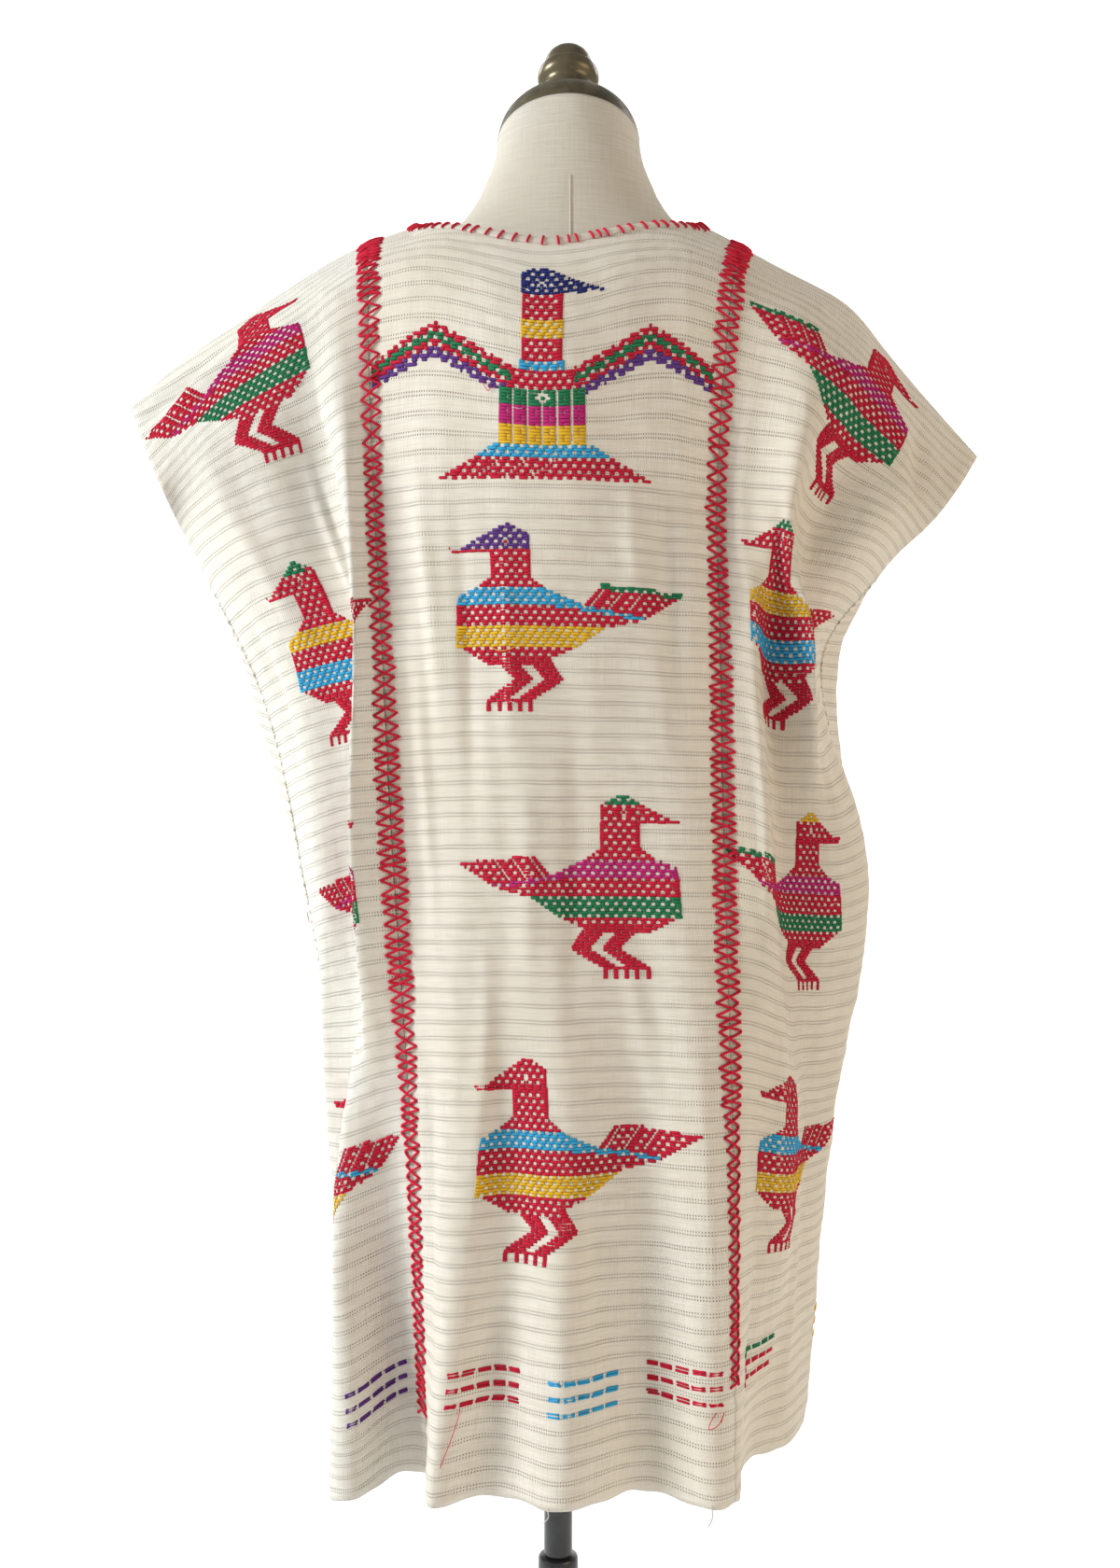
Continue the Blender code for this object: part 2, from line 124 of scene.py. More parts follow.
# u, x, y and z behind, y and z in front, one yoke's depth below the shoulder line
YOKE_DEPTH = 0.080
YOKE = (
    (-0.390, -0.312, -0.040, 1.156, 0.052, 1.160),
    (-0.295, -0.258, -0.056, 1.222, 0.062, 1.224),
    (-0.220, -0.202, -0.062, 1.267, 0.062, 1.268),
    (-0.145, -0.149, -0.066, 1.307, 0.060, 1.306),
    (-0.110, -0.115, -0.072, 1.316, 0.062, 1.318),
    (0.0, -0.015, -0.097, 1.2945, 0.085, 1.300),
    (0.110, 0.088, -0.072, 1.314, 0.062, 1.318),
    (0.145, 0.122, -0.066, 1.302, 0.060, 1.303),
    (0.220, 0.185, -0.068, 1.263, 0.064, 1.266),
    (0.295, 0.232, -0.064, 1.206, 0.070, 1.212),
    (0.390, 0.281, -0.046, 1.130, 0.058, 1.132),
)
# padded form: height, half width, depth behind, depth in front, slope of the ring
FORM = (
    (0.700, 0.138, 0.078, 0.068, 0.0), (0.706, 0.147, 0.086, 0.076, 0.0),
    (0.724, 0.153, 0.093, 0.081, 0.0), (0.770, 0.157, 0.098, 0.084, 0.0),
    (0.820, 0.157, 0.098, 0.085, 0.0), (0.880, 0.148, 0.092, 0.083, 0.0),
    (0.950, 0.130, 0.080, 0.080, 0.0), (1.010, 0.118, 0.071, 0.078, 0.0),
    (1.060, 0.121, 0.075, 0.088, 0.0), (1.110, 0.131, 0.085, 0.104, 0.0),
    (1.165, 0.140, 0.094, 0.113, 0.0), (1.210, 0.146, 0.099, 0.103, 0.0),
    (1.250, 0.156, 0.098, 0.085, 0.0), (1.280, 0.166, 0.091, 0.068, 0.0),
    (1.302, 0.164, 0.080, 0.055, 0.0), (1.320, 0.142, 0.071, 0.048, 0.0),
    (1.336, 0.118, 0.063, 0.045, 0.0), (1.351, 0.094, 0.058, 0.045, 0.0),
    (1.369, 0.076, 0.056, 0.048, 0.04), (1.387, 0.066, 0.056, 0.052, 0.10),
    (1.403, 0.059, 0.057, 0.056, 0.21), (1.4223, 0.0555, 0.0545, 0.0560, LEAN),
)


def smooth_curve(knots, values, where, period=None):
    """Read a curve with even bending through the knots; it closes on itself over a period."""
    k = np.asarray(knots, float)
    y = np.asarray(values, float)
    if period:
        where = k[0] + np.mod(where - k[0], period)
        k = np.append(k, k[0] + period)
        y = np.append(y, y[:1], axis=0)
    n = len(k)
    h = np.diff(k)
    slope = np.diff(y, axis=0) / h[:, None]
    a = np.zeros((n, n))
    b = np.zeros_like(y)
    for i in range(1, n - 1):
        a[i, i - 1:i + 2] = h[i - 1], 2 * (h[i - 1] + h[i]), h[i]
        b[i] = 6 * (slope[i] - slope[i - 1])
    if period:
        a[0, 0], a[0, -1] = 1, -1
        a[-1, 0], a[-1, 1], a[-1, -2], a[-1, -1] = 2 * h[0], h[0], h[-1], 2 * h[-1]
        b[-1] = 6 * (slope[0] - slope[-1])
    else:
        a[0, 0] = a[-1, -1] = 1
    bend = np.linalg.solve(a, b)
    i = np.clip(np.searchsorted(k, where, side="right") - 1, 0, n - 2)
    past = (where - k[i])[:, None]
    left = (k[i + 1] - where)[:, None]
    step = h[i][:, None]
    return ((bend[i] * left ** 3 + bend[i + 1] * past ** 3) / (6 * step)
            + (y[i] / step - bend[i] * step / 6) * left
            + (y[i + 1] / step - bend[i + 1] * step / 6) * past)


def ease(x, low, high):
    """From 0 at low to 1 at high, level at both ends."""
    t = np.clip((x - low) / (high - low), 0, 1)
    return t * t * (3 - 2 * t)


def shoulder_v(u):
    """Where on the web the shoulder line falls: towards the back on the drooping wings."""
    reach = np.clip((np.abs(u) - WING) / (HALF_WIDTH - WING), 0, None)
    return np.where(u < 0, ROLL_LEFT, ROLL_RIGHT) * reach ** 1.5


def slit_v(u):
    """Distance from mid web to the foot of the armhole, read on across the cloth."""
    return SLIT + SLIT_SKEW * u / HALF_WIDTH


def thread_points(u, back):
    """Each thread's points at shoulder, yoke and the five levels, with their distance along it."""
    side = -1 if back else 1
    top = np.array(SHOULDER)
    ridge = smooth_curve(top[:, 0], top[:, 1:], u)
    yoke = np.array(YOKE)
    below = smooth_curve(yoke[:, 0], yoke[:, [1, 2, 3] if back else [1, 4, 5]], u)
    offset = side * NECK_SET * np.clip(1 - (u / NECK) ** 2, 0, None)
    points = [np.stack([ridge[:, 0], offset, ridge[:, 1]], 1), below]
    along = [0 * u, YOKE_DEPTH + 0 * u]
    around = [row[1] / 1000 for row in BACK] + [2 * HALF_WIDTH - row[1] / 1000 for row in FRONT]
    plan = np.array([row[2:] for row in BACK + FRONT]) / 1000
    plan = smooth_curve(around, plan, u if back else 2 * HALF_WIDTH - u, 4 * HALF_WIDTH)
    for i, level in enumerate(LEVELS):
        height = smooth_curve(ACROSS, np.array(level[2:])[:, None], u)[:, 0]
        points.append(np.stack([plan[:, 2 * i], plan[:, 2 * i + 1], height], 1))
        v = slit_v(u) if i == 0 else level[1] + 0 * u
        along.append(v + side * shoulder_v(u))
    return np.array(points), np.array(along)


def cloth(u, v, back):
    """Middle of the cloth at thread u and place v, for arrays of either."""
    u = np.asarray(u, float)
    v = np.asarray(v, float)
    points, along = thread_points(u, back)
    h = np.diff(along, axis=0)[:, :, None]
    chord = np.diff(points, axis=0) / h
    slope = np.concatenate([chord[:1], chord])
    slope[1:-1] = (chord[:-1] * h[1:] + chord[1:] * h[:-1]) / (h[1:] + h[:-1])
    near_side = ease(np.abs(u), FLANK, HALF_WIDTH)[:, None]
    slope[2] = slope[2] * (1 - near_side) + chord[2] * near_side
    slope[0, :, 1] = -SHOULDER_TURN if back else SHOULDER_TURN
    run = np.abs(v - shoulder_v(u))
    i = np.clip(np.sum(run[None] >= along[1:-1], axis=0), 0, len(points) - 2)
    k = np.arange(len(u))
    step = h[i, k]
    t = (run - along[i, k])[:, None] / step
    return (points[i, k] * (2 * t ** 3 - 3 * t ** 2 + 1)
            + slope[i, k] * step * (t ** 3 - 2 * t ** 2 + t)
            + points[i + 1, k] * (3 * t ** 2 - 2 * t ** 3)
            + slope[i + 1, k] * step * (t ** 3 - t ** 2))


def opening_v(u, back):
    """Place on thread u where the cloth starts: the neck edge, or the shoulder line beyond it."""
    depth = NECK_BACK if back else -NECK_FRONT
    neck = depth * np.sqrt(np.clip(1 - np.abs(u / NECK) ** NECK_ROUND, 0, None))
    return np.where(np.abs(u) < NECK - 1e-6, neck, shoulder_v(u))


# ---------------------------------------------------------------- cloth laid out in fine rows

CLOTH = 0.0011           # thickness of the woven cotton
FACE = CLOTH / 2
TOP_ROWS = (54, 34)      # rows of cloth from neck or shoulder to slit, back and front
LOW_ROWS = (164, 112)    # the same from slit to hem
CREASE_FULLNESS = 2.2    # how much fuller the creases are worked than their listed height
PUCKER = 0.0006          # how far the seam stitches pull the cloth in
RANDA_PITCH = 0.0147     # one crossing stitch to the next

# soft creases: side, then u and v at each end, half width and height in millimetres
CREASES = (
    ("back", -104, 205, -98, 400, 7, 2.2), ("back", -74, 215, -70, 500, 9, -2.0),
    ("back", -118, 330, -112, 560, 6, 1.6), ("back", -40, 240, -34, 470, 10, 1.6),
    ("back", 98, 215, 112, 420, 10, -2.2), ("back", 66, 225, 78, 330, 8, 1.4),
    ("back", -20, 400, -28, 620, 12, 1.8), ("back", 22, 400, 14, 640, 10, -1.6),
    ("back", 60, 560, 92, 700, 10, 1.6), ("back", -64, 560, -82, 760, 9, 1.8),
    ("back", 30, 720, 44, 900, 11, -1.8), ("back", -120, 640, -126, 880, 6, -1.4),
    ("back", 122, 640, 128, 820, 6, 1.4), ("back", 0, 820, 10, 950, 9, 1.2),
    ("back", -386, 66, -280, 56, 9, -3.2), ("back", -384, 100, -262, 74, 7, 3.0),
    ("back", -330, 150, -300, 330, 12, 1.6), ("back", -238, 190, -232, 330, 7, 2.2),
    ("back", -212, 150, -206, 330, 7, -2.4), ("back", -180, 190, -176, 320, 6, 1.6),
    ("back", -360, 250, -352, 420, 8, -1.6), ("back", -350, 520, -340, 700, 9, 1.4),
    ("back", 172, 150, 176, 300, 7, 2.0), ("back", 205, 215, 235, 330, 9, -2.0),
    ("back", 262, 120, 300, 260, 10, 1.8), ("back", 330, 90, 372, 170, 8, -1.8),
    ("back", 300, 300, 318, 480, 9, 1.6), ("back", 166, 380, 174, 560, 7, -1.8),
    ("back", 210, 560, 204, 760, 8, 1.6), ("back", 330, 560, 322, 760, 10, 1.5),
    ("back", 190, 760, 186, 940, 7, -1.4), ("back", 270, 700, 262, 930, 9, 1.5),
    ("front", -96, 210, -88, 520, 9, 2.0), ("front", 84, 230, 90, 560, 9, -2.0),
    ("front", -30, 300, -22, 620, 12, 1.8), ("front", 36, 380, 30, 760, 11, 1.6),
    ("front", -190, 180, -204, 420, 9, -2.0), ("front", 200, 170, 214, 430, 9, 2.0),
    ("front", -300, 220, -310, 520, 11, 1.6), ("front", 300, 230, 308, 560, 11, -1.6),
    ("front", -60, 640, -52, 900, 10, -1.6), ("front", 110, 600, 118, 880, 8, 1.6),
    ("front", -240, 560, -232, 860, 9, 1.6), ("front", 250, 600, 242, 880, 9, 1.6),
)


def crumple(u, v, step, seed):
    """Soft unevenness of the cloth with hollows about a step apart, between -1 and 1."""
    wave = np.random.default_rng(seed)
    total = 0
    for _ in range(9):
        turn, phase, length = wave.uniform(0, np.pi), wave.uniform(0, 6.28), wave.uniform(0.7, 1.5)
        way = u * np.cos(turn) + v * np.sin(turn)
        total = total + np.sin(way * 6.28 / (step * length) + phase)
    return total / 4.5


def relief(u, v, back):
    """How far the cloth stands off its fold, from creases, crumples and the pull of stitches."""
    side = "back" if back else "front"
    far = np.abs(v)
    height = 0 * u
    for where, u0, v0, u1, v1, width, tall in CREASES:
        if where != side:
            continue
        start, end = np.array((u0, v0)) / 1000, np.array((u1, v1)) / 1000
        run = end - start
        share = ((u - start[0]) * run[0] + (far - start[1]) * run[1]) / (run @ run)
        off = np.hypot(u - start[0] - share * run[0], far - start[1] - share * run[1])
        taper = np.sin(np.pi * np.clip((share + 0.15) / 1.3, 0, 1)) ** 1.5
        ridge = np.exp(-(off * 1000 / width) ** 2)
        height = height + CREASE_FULLNESS * tall / 1000 * taper * ridge
    height = height + 0.0009 * crumple(u, v, 0.052, 3) + 0.00040 * crumple(u, v, 0.017, 5)
    by_seam = np.exp(-((np.abs(u) - SEAM) / 0.007) ** 2)
    height = height - PUCKER * by_seam * (1 + np.sin(far * 2 * np.pi / RANDA_PITCH))
    neck_free = ease(far - np.abs(opening_v(u, back)), 0.004, 0.03)
    shoulder_free = ease(np.abs(v - shoulder_v(u)), 0.0, 0.03)
    height = height * np.where(np.abs(u) < NECK, neck_free, shoulder_free)
    return height * (1 - 0.5 * ease(np.abs(u), 0.375, HALF_WIDTH))


# where the back sides hang lower than their place: side and drop, then the distances across and
# along the web at which the drop starts, is full, eases and ends
SLIPS = (
    (1, 0.020, (SEAM, 0.245, 0.30, HALF_WIDTH), (0.24, 0.36, 0.60, 0.90)),
    (-1, 0.014, (SEAM, 0.235, 0.29, HALF_WIDTH), (0.50, 0.80, 0.89, HALF_LENGTH)),
)


def slip(u, v):
    """How far the threads of the back sides hang down along the surface from their place."""
    total = 0
    for side, drop, across, along in SLIPS:
        share = 1
        for x, (start, full, eases, end) in ((side * u, across), (v, along)):
            share = share * ease(x, start, full) * (1 - ease(x, eases, end))
        total = total + drop * share
    return total


class Web:
    """One handwoven web laid on its folds, as rows of points from neck or shoulder to each hem."""

    def __init__(self, columns):
        self.u = np.array(columns)
        self.half = {}
        for back in (True, False):
            top, low = TOP_ROWS[not back], LOW_ROWS[not back]
            sign = 1 if back else -1
            start, slit = opening_v(self.u, back), sign * slit_v(self.u)
            hem = sign * (HALF_LENGTH + 0.0012 * crumple(self.u, 0 * self.u, 0.03, 9 + back))
            v = np.concatenate([start + (slit - start) * np.linspace(0, 1, top + 1)[:, None],
                                slit + (hem - slit) * np.linspace(0, 1, low + 1)[1:, None]])
            u = np.broadcast_to(self.u, v.shape)
            slid = v + slip(u, v) if back else v
            place = cloth(u.ravel(), slid.ravel(), back).reshape(*v.shape, 3)
            out = self.outward(place, v)
            place = place + out * relief(u, v, back)[..., None]
            self.half[back] = [place, self.outward(place, v), v, start, slit, hem]
        shared = np.abs(self.u) >= NECK - 1e-6
        ends = self.half[True], self.half[False]
        for part in (0, 1):
            middle = (ends[0][part][0, shared] + ends[1][part][0, shared]) / 2
            ends[0][part][0, shared] = ends[1][part][0, shared] = middle

    def outward(self, place, v):
        down = np.gradient(place, axis=0) * np.sign(v[-1, 0])
        across = np.gradient(place, self.u, axis=1)
        out = np.cross(down, across)
        return out / np.maximum(np.linalg.norm(out, axis=2), 1e-12)[..., None]

    def at(self, u, v, lift=0.0):
        """Points on the web at threads u and places v, raised by lift from its middle."""
        u, v, lift = np.broadcast_arrays(*(np.asarray(x, float) for x in (u, v, lift)))
        made = np.zeros((*u.shape, 3))
        column = np.interp(u, self.u, np.arange(len(self.u)))
        i = np.clip(column.astype(int), 0, len(self.u) - 2)
        s = column - i
        for back in (True, False):
            place, out, _, start, slit, hem = self.half[back]
            use = (v >= shoulder_v(u)) == back
            top, low = TOP_ROWS[not back], LOW_ROWS[not back]

            def read(line):
                return line[i] * (1 - s) + line[i + 1] * s
            start, slit, hem = read(start), read(slit), read(hem)
            high = (v - start) / (slit - start) * top
            row = np.where(high < top, high, top + (v - slit) / (hem - slit) * low)
            j = np.clip(row.astype(int), 0, top + low - 1)
            t = row - j
            total = 0
            for dj, di, share in ((0, 0, (1 - t) * (1 - s)), (0, 1, (1 - t) * s),
                                  (1, 0, t * (1 - s)), (1, 1, t * s)):
                point = place[j + dj, i + di] + out[j + dj, i + di] * lift[..., None]
                total = total + point * share[..., None]
            made[use] = total[use]
        return made


def spread_columns(low, high, step):
    """Even columns from low to high, about a step apart."""
    return np.linspace(low, high, round((high - low) / step) + 1)


neck_share = np.linspace(-1, 1, 57)
neck_columns = NECK * (0.62 * neck_share + 0.38 * np.sin(neck_share * np.pi / 2))
neck_columns /= abs(neck_columns[0]) / NECK
edge_columns = spread_columns(NECK, SEAM - GAP, 0.004)[1:]
side_columns = spread_columns(SEAM + GAP, HALF_WIDTH - GAP, 0.004)
centre = Web(np.concatenate([-edge_columns[::-1], neck_columns, edge_columns]))
left = Web(-side_columns[::-1])
right = Web(side_columns)


# ---------------------------------------------------------------- making and finishing pieces

def piece(mesh, name, materials, stands_for=()):
    """Put a finished mesh in the scene as a piece of the part."""
    made = bpy.data.objects.new(name, mesh)
    bpy.context.scene.collection.objects.link(made)
    mesh.materials.clear()
    for material in materials:
        mesh.materials.append(material)
    mesh.shade_smooth()
    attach(made, "root")
    if stands_for:
        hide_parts(*stands_for)
    return made


def laid_grid(place, thread=None):
    """A grid of bmesh faces over rows of points; thread gives each point its u and v."""
    rows, columns = place.shape[:2]
    bm = bmesh.new()
    bmesh.ops.create_grid(bm, x_segments=columns - 1, y_segments=rows - 1, size=1.0)
    chart = bm.loops.layers.uv.new("threads") if thread is not None else None
    for vert in bm.verts:
        i = round((vert.co.x + 1) / 2 * (columns - 1))
        j = round((vert.co.y + 1) / 2 * (rows - 1))
        vert.co = Vector(place[j, i])
        if chart:
            for loop in vert.link_loops:
                loop[chart].uv = thread[j, i]
    return bm


def to_mesh(bm, name, dist=1e-6):
    """Close a worked bmesh and hand it over as a mesh."""
    if dist:
        bmesh.ops.remove_doubles(bm, verts=bm.verts, dist=dist)
    bmesh.ops.recalc_face_normals(bm, faces=bm.faces)
    mesh = bpy.data.meshes.new(name)
    bm.to_mesh(mesh)
    bm.free()
    return mesh


def web_mesh(web, name):
    """The whole web, hem to hem, open at the neck, with its threads charted in metres."""
    halves = [web.half[True], web.half[False]]
    place = np.concatenate([halves[0][0][::-1], halves[1][0]])
    v = np.concatenate([halves[0][2][::-1], halves[1][2]])
    thread = np.stack([np.broadcast_to(web.u, v.shape), v], axis=2)
    bm = laid_grid(place, thread)
    bm.verts.ensure_lookup_table()
    middle = len(halves[0][0])
    count = len(web.u)
    first = set(range((middle - 1) * count, (middle + 1) * count))
    bm.verts.index_update()
    across = [f for f in bm.faces if all(v.index in first for v in f.verts)]
    fold = [v for v in bm.verts if v.index in first]
    bmesh.ops.delete(bm, geom=across, context="FACES_ONLY")
    bmesh.ops.remove_doubles(bm, verts=fold, dist=1e-5)
    return to_mesh(bm, name, dist=0)


def tubes(paths, radius, name):
    """Round threads along lists of points, capped at their ends."""
    line = bpy.data.curves.new(name, "CURVE")
    line.dimensions = "3D"
    line.bevel_depth = radius
    line.bevel_resolution = 1
    line.use_fill_caps = True
    for path in paths:
        spline = line.splines.new("POLY")
        spline.points.add(len(path) - 1)
        spline.points.foreach_set("co", np.c_[path, np.ones(len(path))].ravel())
    drawn = bpy.data.objects.new(name, line)
    mesh = bpy.data.meshes.new_from_object(drawn)
    bpy.data.objects.remove(drawn)
    bm = bmesh.new()
    bm.from_mesh(mesh)
    bpy.data.meshes.remove(mesh)
    return to_mesh(bm, name)


def rounded(points, steps):
    """A soft line through the points, with steps pieces between each two."""
    p = np.asarray(points, float)
    p = np.concatenate([[2 * p[0] - p[1]], p, [2 * p[-1] - p[-2]]])
    t = np.linspace(0, 1, steps, endpoint=False)[:, None]
    out = []
    for a, b, c, d in zip(p, p[1:], p[2:], p[3:]):
        out.append(b + 0.5 * (t * (c - a) + t ** 2 * (2 * a - 5 * b + 4 * c - d)
                              + t ** 3 * (3 * b - a - 3 * c + d)))
    return np.concatenate(out + [p[-2:-1]])


def lathe(profile, name, foot, slope=0.0, steps=96):
    """A turned piece from (radius, height) points, outer side top to bottom, stood at foot."""
    bm = bmesh.new()
    line = [bm.verts.new((r, 0, z)) for r, z in profile]
    edges = [bm.edges.new(pair) for pair in zip(line, line[1:])]
    bmesh.ops.spin(bm, geom=line + edges, cent=(0, 0, 0), axis=(0, 0, 1), steps=steps,
                   angle=2 * np.pi, use_merge=True)
    bmesh.ops.remove_doubles(bm, verts=bm.verts, dist=1e-6)
    tilt = Matrix.Rotation(-np.arctan(slope), 4, "X")
    bmesh.ops.transform(bm, matrix=Matrix.Translation(foot) @ tilt, verts=bm.verts)
    return to_mesh(bm, name)


# ---------------------------------------------------------------- materials

class Graph:
    """Short calls for wiring a node tree."""

    def __init__(self, tree):
        self.tree = tree

    def put(self, socket, value):
        if isinstance(value, bpy.types.NodeSocket):
            self.tree.links.new(value, socket)
        else:
            socket.default_value = value

    def node(self, kind, inputs=None, **settings):
        made = self.tree.nodes.new(kind)
        for name, value in settings.items():
            setattr(made, name, value)
        for key, value in (inputs or {}).items():
            self.put(made.inputs[key], value)
        return made

    def math(self, operation, *values, clamp=False):
        made = self.node("ShaderNodeMath", operation=operation, use_clamp=clamp)
        for socket, value in zip(made.inputs, values):
            self.put(socket, value)
        return made.outputs[0]

    def scaled(self, vector, scale):
        made = self.node("ShaderNodeVectorMath", {0: vector, 1: scale}, operation="MULTIPLY")
        return made.outputs[0]

    def noise(self, vector, scale=1.0, detail=2.0, roughness=0.5):
        return self.node("ShaderNodeTexNoise", {"Vector": vector, "Scale": scale, "Detail": detail,
                                                "Roughness": roughness}).outputs["Fac"]

    def between(self, value, low, high, to_low=0.0, to_high=1.0):
        return self.node("ShaderNodeMapRange", {0: value, 1: low, 2: high, 3: to_low, 4: to_high},
                         interpolation_type="SMOOTHSTEP").outputs[0]

    def mix(self, share, a, b):
        made = self.node("ShaderNodeMix", data_type="RGBA")
        self.put(made.inputs[0], share)
        self.put(made.inputs[6], a)
        self.put(made.inputs[7], b)
        return made.outputs[2]


def group(name, inputs, outputs):
    """A shader node group with named sockets; returns it with its graph and input sockets."""
    tree = bpy.data.node_groups.new(name, "ShaderNodeTree")
    for socket, kind, value in inputs:
        made = tree.interface.new_socket(socket, in_out="INPUT", socket_type=kind)
        if kind == "NodeSocketFloat":
            made.default_value = value
    for socket in outputs:
        tree.interface.new_socket(socket, in_out="OUTPUT", socket_type="NodeSocketFloat")
    graph = Graph(tree)
    return tree, graph, graph.node("NodeGroupInput").outputs, graph.node("NodeGroupOutput").inputs


# openwork in millimetres: one pair of lines to the next, half the room in a pair, eyelet to eyelet
STRIPE, STRIPE_HALF, EYELET = 11.4, 1.15, 2.05


def plain_weave():
    """Plain weave in metres along warp and weft, with slubs, and rows of openwork if asked."""
    tree, g, given, result = group(
        "plain weave", [("Threads", "NodeSocketVector", None), ("Openwork", "NodeSocketFloat", 0.0),
                        ("Pitch", "NodeSocketFloat", 0.62)], ["Height", "Holes", "Tone and shade"])
    threads = given["Threads"]
    split = g.node("ShaderNodeSeparateXYZ", {0: threads}).outputs
    sway = g.math("MULTIPLY_ADD", g.noise(g.scaled(threads, (22, 9, 1)), detail=1), 2.6, -1.3)
    across = g.math("MULTIPLY", split[0], 1000.0)
    along = g.math("MULTIPLY_ADD", split[1], 1000.0, sway)
    share = g.math("FRACT", g.math("DIVIDE", along, STRIPE))
    row = g.math("MULTIPLY", g.math("SUBTRACT", share, 0.5), STRIPE)
    from_line = g.math("ABSOLUTE", g.math("SUBTRACT", g.math("ABSOLUTE", row), STRIPE_HALF))
    line = g.between(from_line, 0.62, 0.34)
    eyelets = g.between(g.math("COSINE", g.math("MULTIPLY", across, 2 * np.pi / EYELET)), 0.25, 0.8)
    open_more = g.between(g.noise(g.scaled(threads, (60, 45, 1)), detail=2), 0.3, 0.62, 0.72, 1.0)
    holes = g.math("MULTIPLY", g.math("MULTIPLY", line, eyelets), open_more)
    holes = g.math("MULTIPLY", holes, given["Openwork"])
    turn = g.math("DIVIDE", np.pi, given["Pitch"])
    warp = g.math("SINE", g.math("MULTIPLY", across, turn))
    weft = g.math("SINE", g.math("MULTIPLY", along, g.math("MULTIPLY", turn, 1.12)))
    pebble = g.math("MULTIPLY_ADD", g.math("MULTIPLY", warp, weft), 0.5, 0.5)
    weft_slub = g.noise(g.scaled(threads, (34, 900, 1)), detail=3, roughness=0.6)
    warp_slub = g.noise(g.scaled(threads, (1100, 26, 1)), detail=3, roughness=0.6)
    slub = g.math("ADD", g.math("MULTIPLY", weft_slub, 0.6), g.math("MULTIPLY", warp_slub, 0.4))
    height = g.math("ADD", g.math("MULTIPLY", pebble, 0.42), g.math("MULTIPLY", slub, 0.6))
    g.put(result["Height"], g.math("SUBTRACT", height, g.math("MULTIPLY", holes, 0.9)))
    g.put(result["Holes"], holes)
    # the tone is partly the random tone of the slubs and partly painted shade: lighter on the
    # raised crossings of the weave, darker in its hollows
    tone_and_shade = g.math("ADD", g.between(slub, 0.3, 0.7, -0.5, 0.5), g.math("MULTIPLY", pebble, 0.5))
    g.put(result["Tone and shade"], tone_and_shade)
    return tree


def spun_yarn():
    """Twist and loose fibres of a yarn that runs along X of the given place, in metres."""
    tree, g, given, result = group(
        "spun yarn", [("Place", "NodeSocketVector", None), ("Twist", "NodeSocketFloat", 0.9)],
        ["Height", "Tone and shade"])
    split = g.node("ShaderNodeSeparateXYZ", {0: given["Place"]}).outputs
    slant = g.math("ADD", split[0], g.math("MULTIPLY", split[1], 0.7))
    plies = g.math("SINE", g.math("DIVIDE", g.math("MULTIPLY", slant, 6283.0), given["Twist"]))
    fibre = g.noise(given["Place"], 2600, detail=2)
    patch = g.noise(given["Place"], 160, detail=1)
    g.put(result["Height"], g.math("ADD", g.math("MULTIPLY", plies, 0.3), fibre))
    # painted shade: the tone is lighter on the twisted plies and raised fibres and darker in the
    # grooves between them, following the height; the cloudy patches are random dye
    tone_and_shade = g.math("ADD", g.math("MULTIPLY", plies, 0.25), g.math("MULTIPLY", fibre, 0.9))
    cloudy = g.math("SUBTRACT", g.math("MULTIPLY", patch, 1.2), 1.05)
    g.put(result["Tone and shade"], g.math("ADD", tone_and_shade, cloudy))
    return tree


def aged_metal():
    """Cloudy patina, fine scratches and dulled low spots."""
    tree, g, given, result = group("aged metal", [("Place", "NodeSocketVector", None)],
                                   ["Patina", "Scratches"])
    cloud = g.noise(given["Place"], 34, detail=5, roughness=0.62)
    g.put(result["Patina"], g.between(cloud, 0.36, 0.66))
    scratch = g.noise(g.scaled(given["Place"], (260, 260, 3200)), 1.0, detail=2)
    g.put(result["Scratches"], scratch)
    return tree


weave = plain_weave()
yarn_twist = spun_yarn()
patina = aged_metal()


def finish(name, rough, **fixed):
    """A material with its shader's plain values set; returns it with its graph and shader."""
    made = bpy.data.materials.new(name)
    made.use_nodes = True
    shader = made.node_tree.nodes["Principled BSDF"]
    shader.inputs["Roughness"].default_value = rough
    for socket, value in fixed.items():
        shader.inputs[socket.replace("_", " ")].default_value = value
    return made, Graph(made.node_tree), shader.inputs


def bumped(g, height, depth, strength=1.0):
    return g.node("ShaderNodeBump", {"Height": height, "Distance": depth, "Strength": strength}
                  ).outputs[0]


# painted shadow: the openwork holes are not cut but coloured this dark tan, which stands in for the
# shade seen through them
HOLE_SHADOW_COLOUR = (0.20, 0.145, 0.085, 1.0)


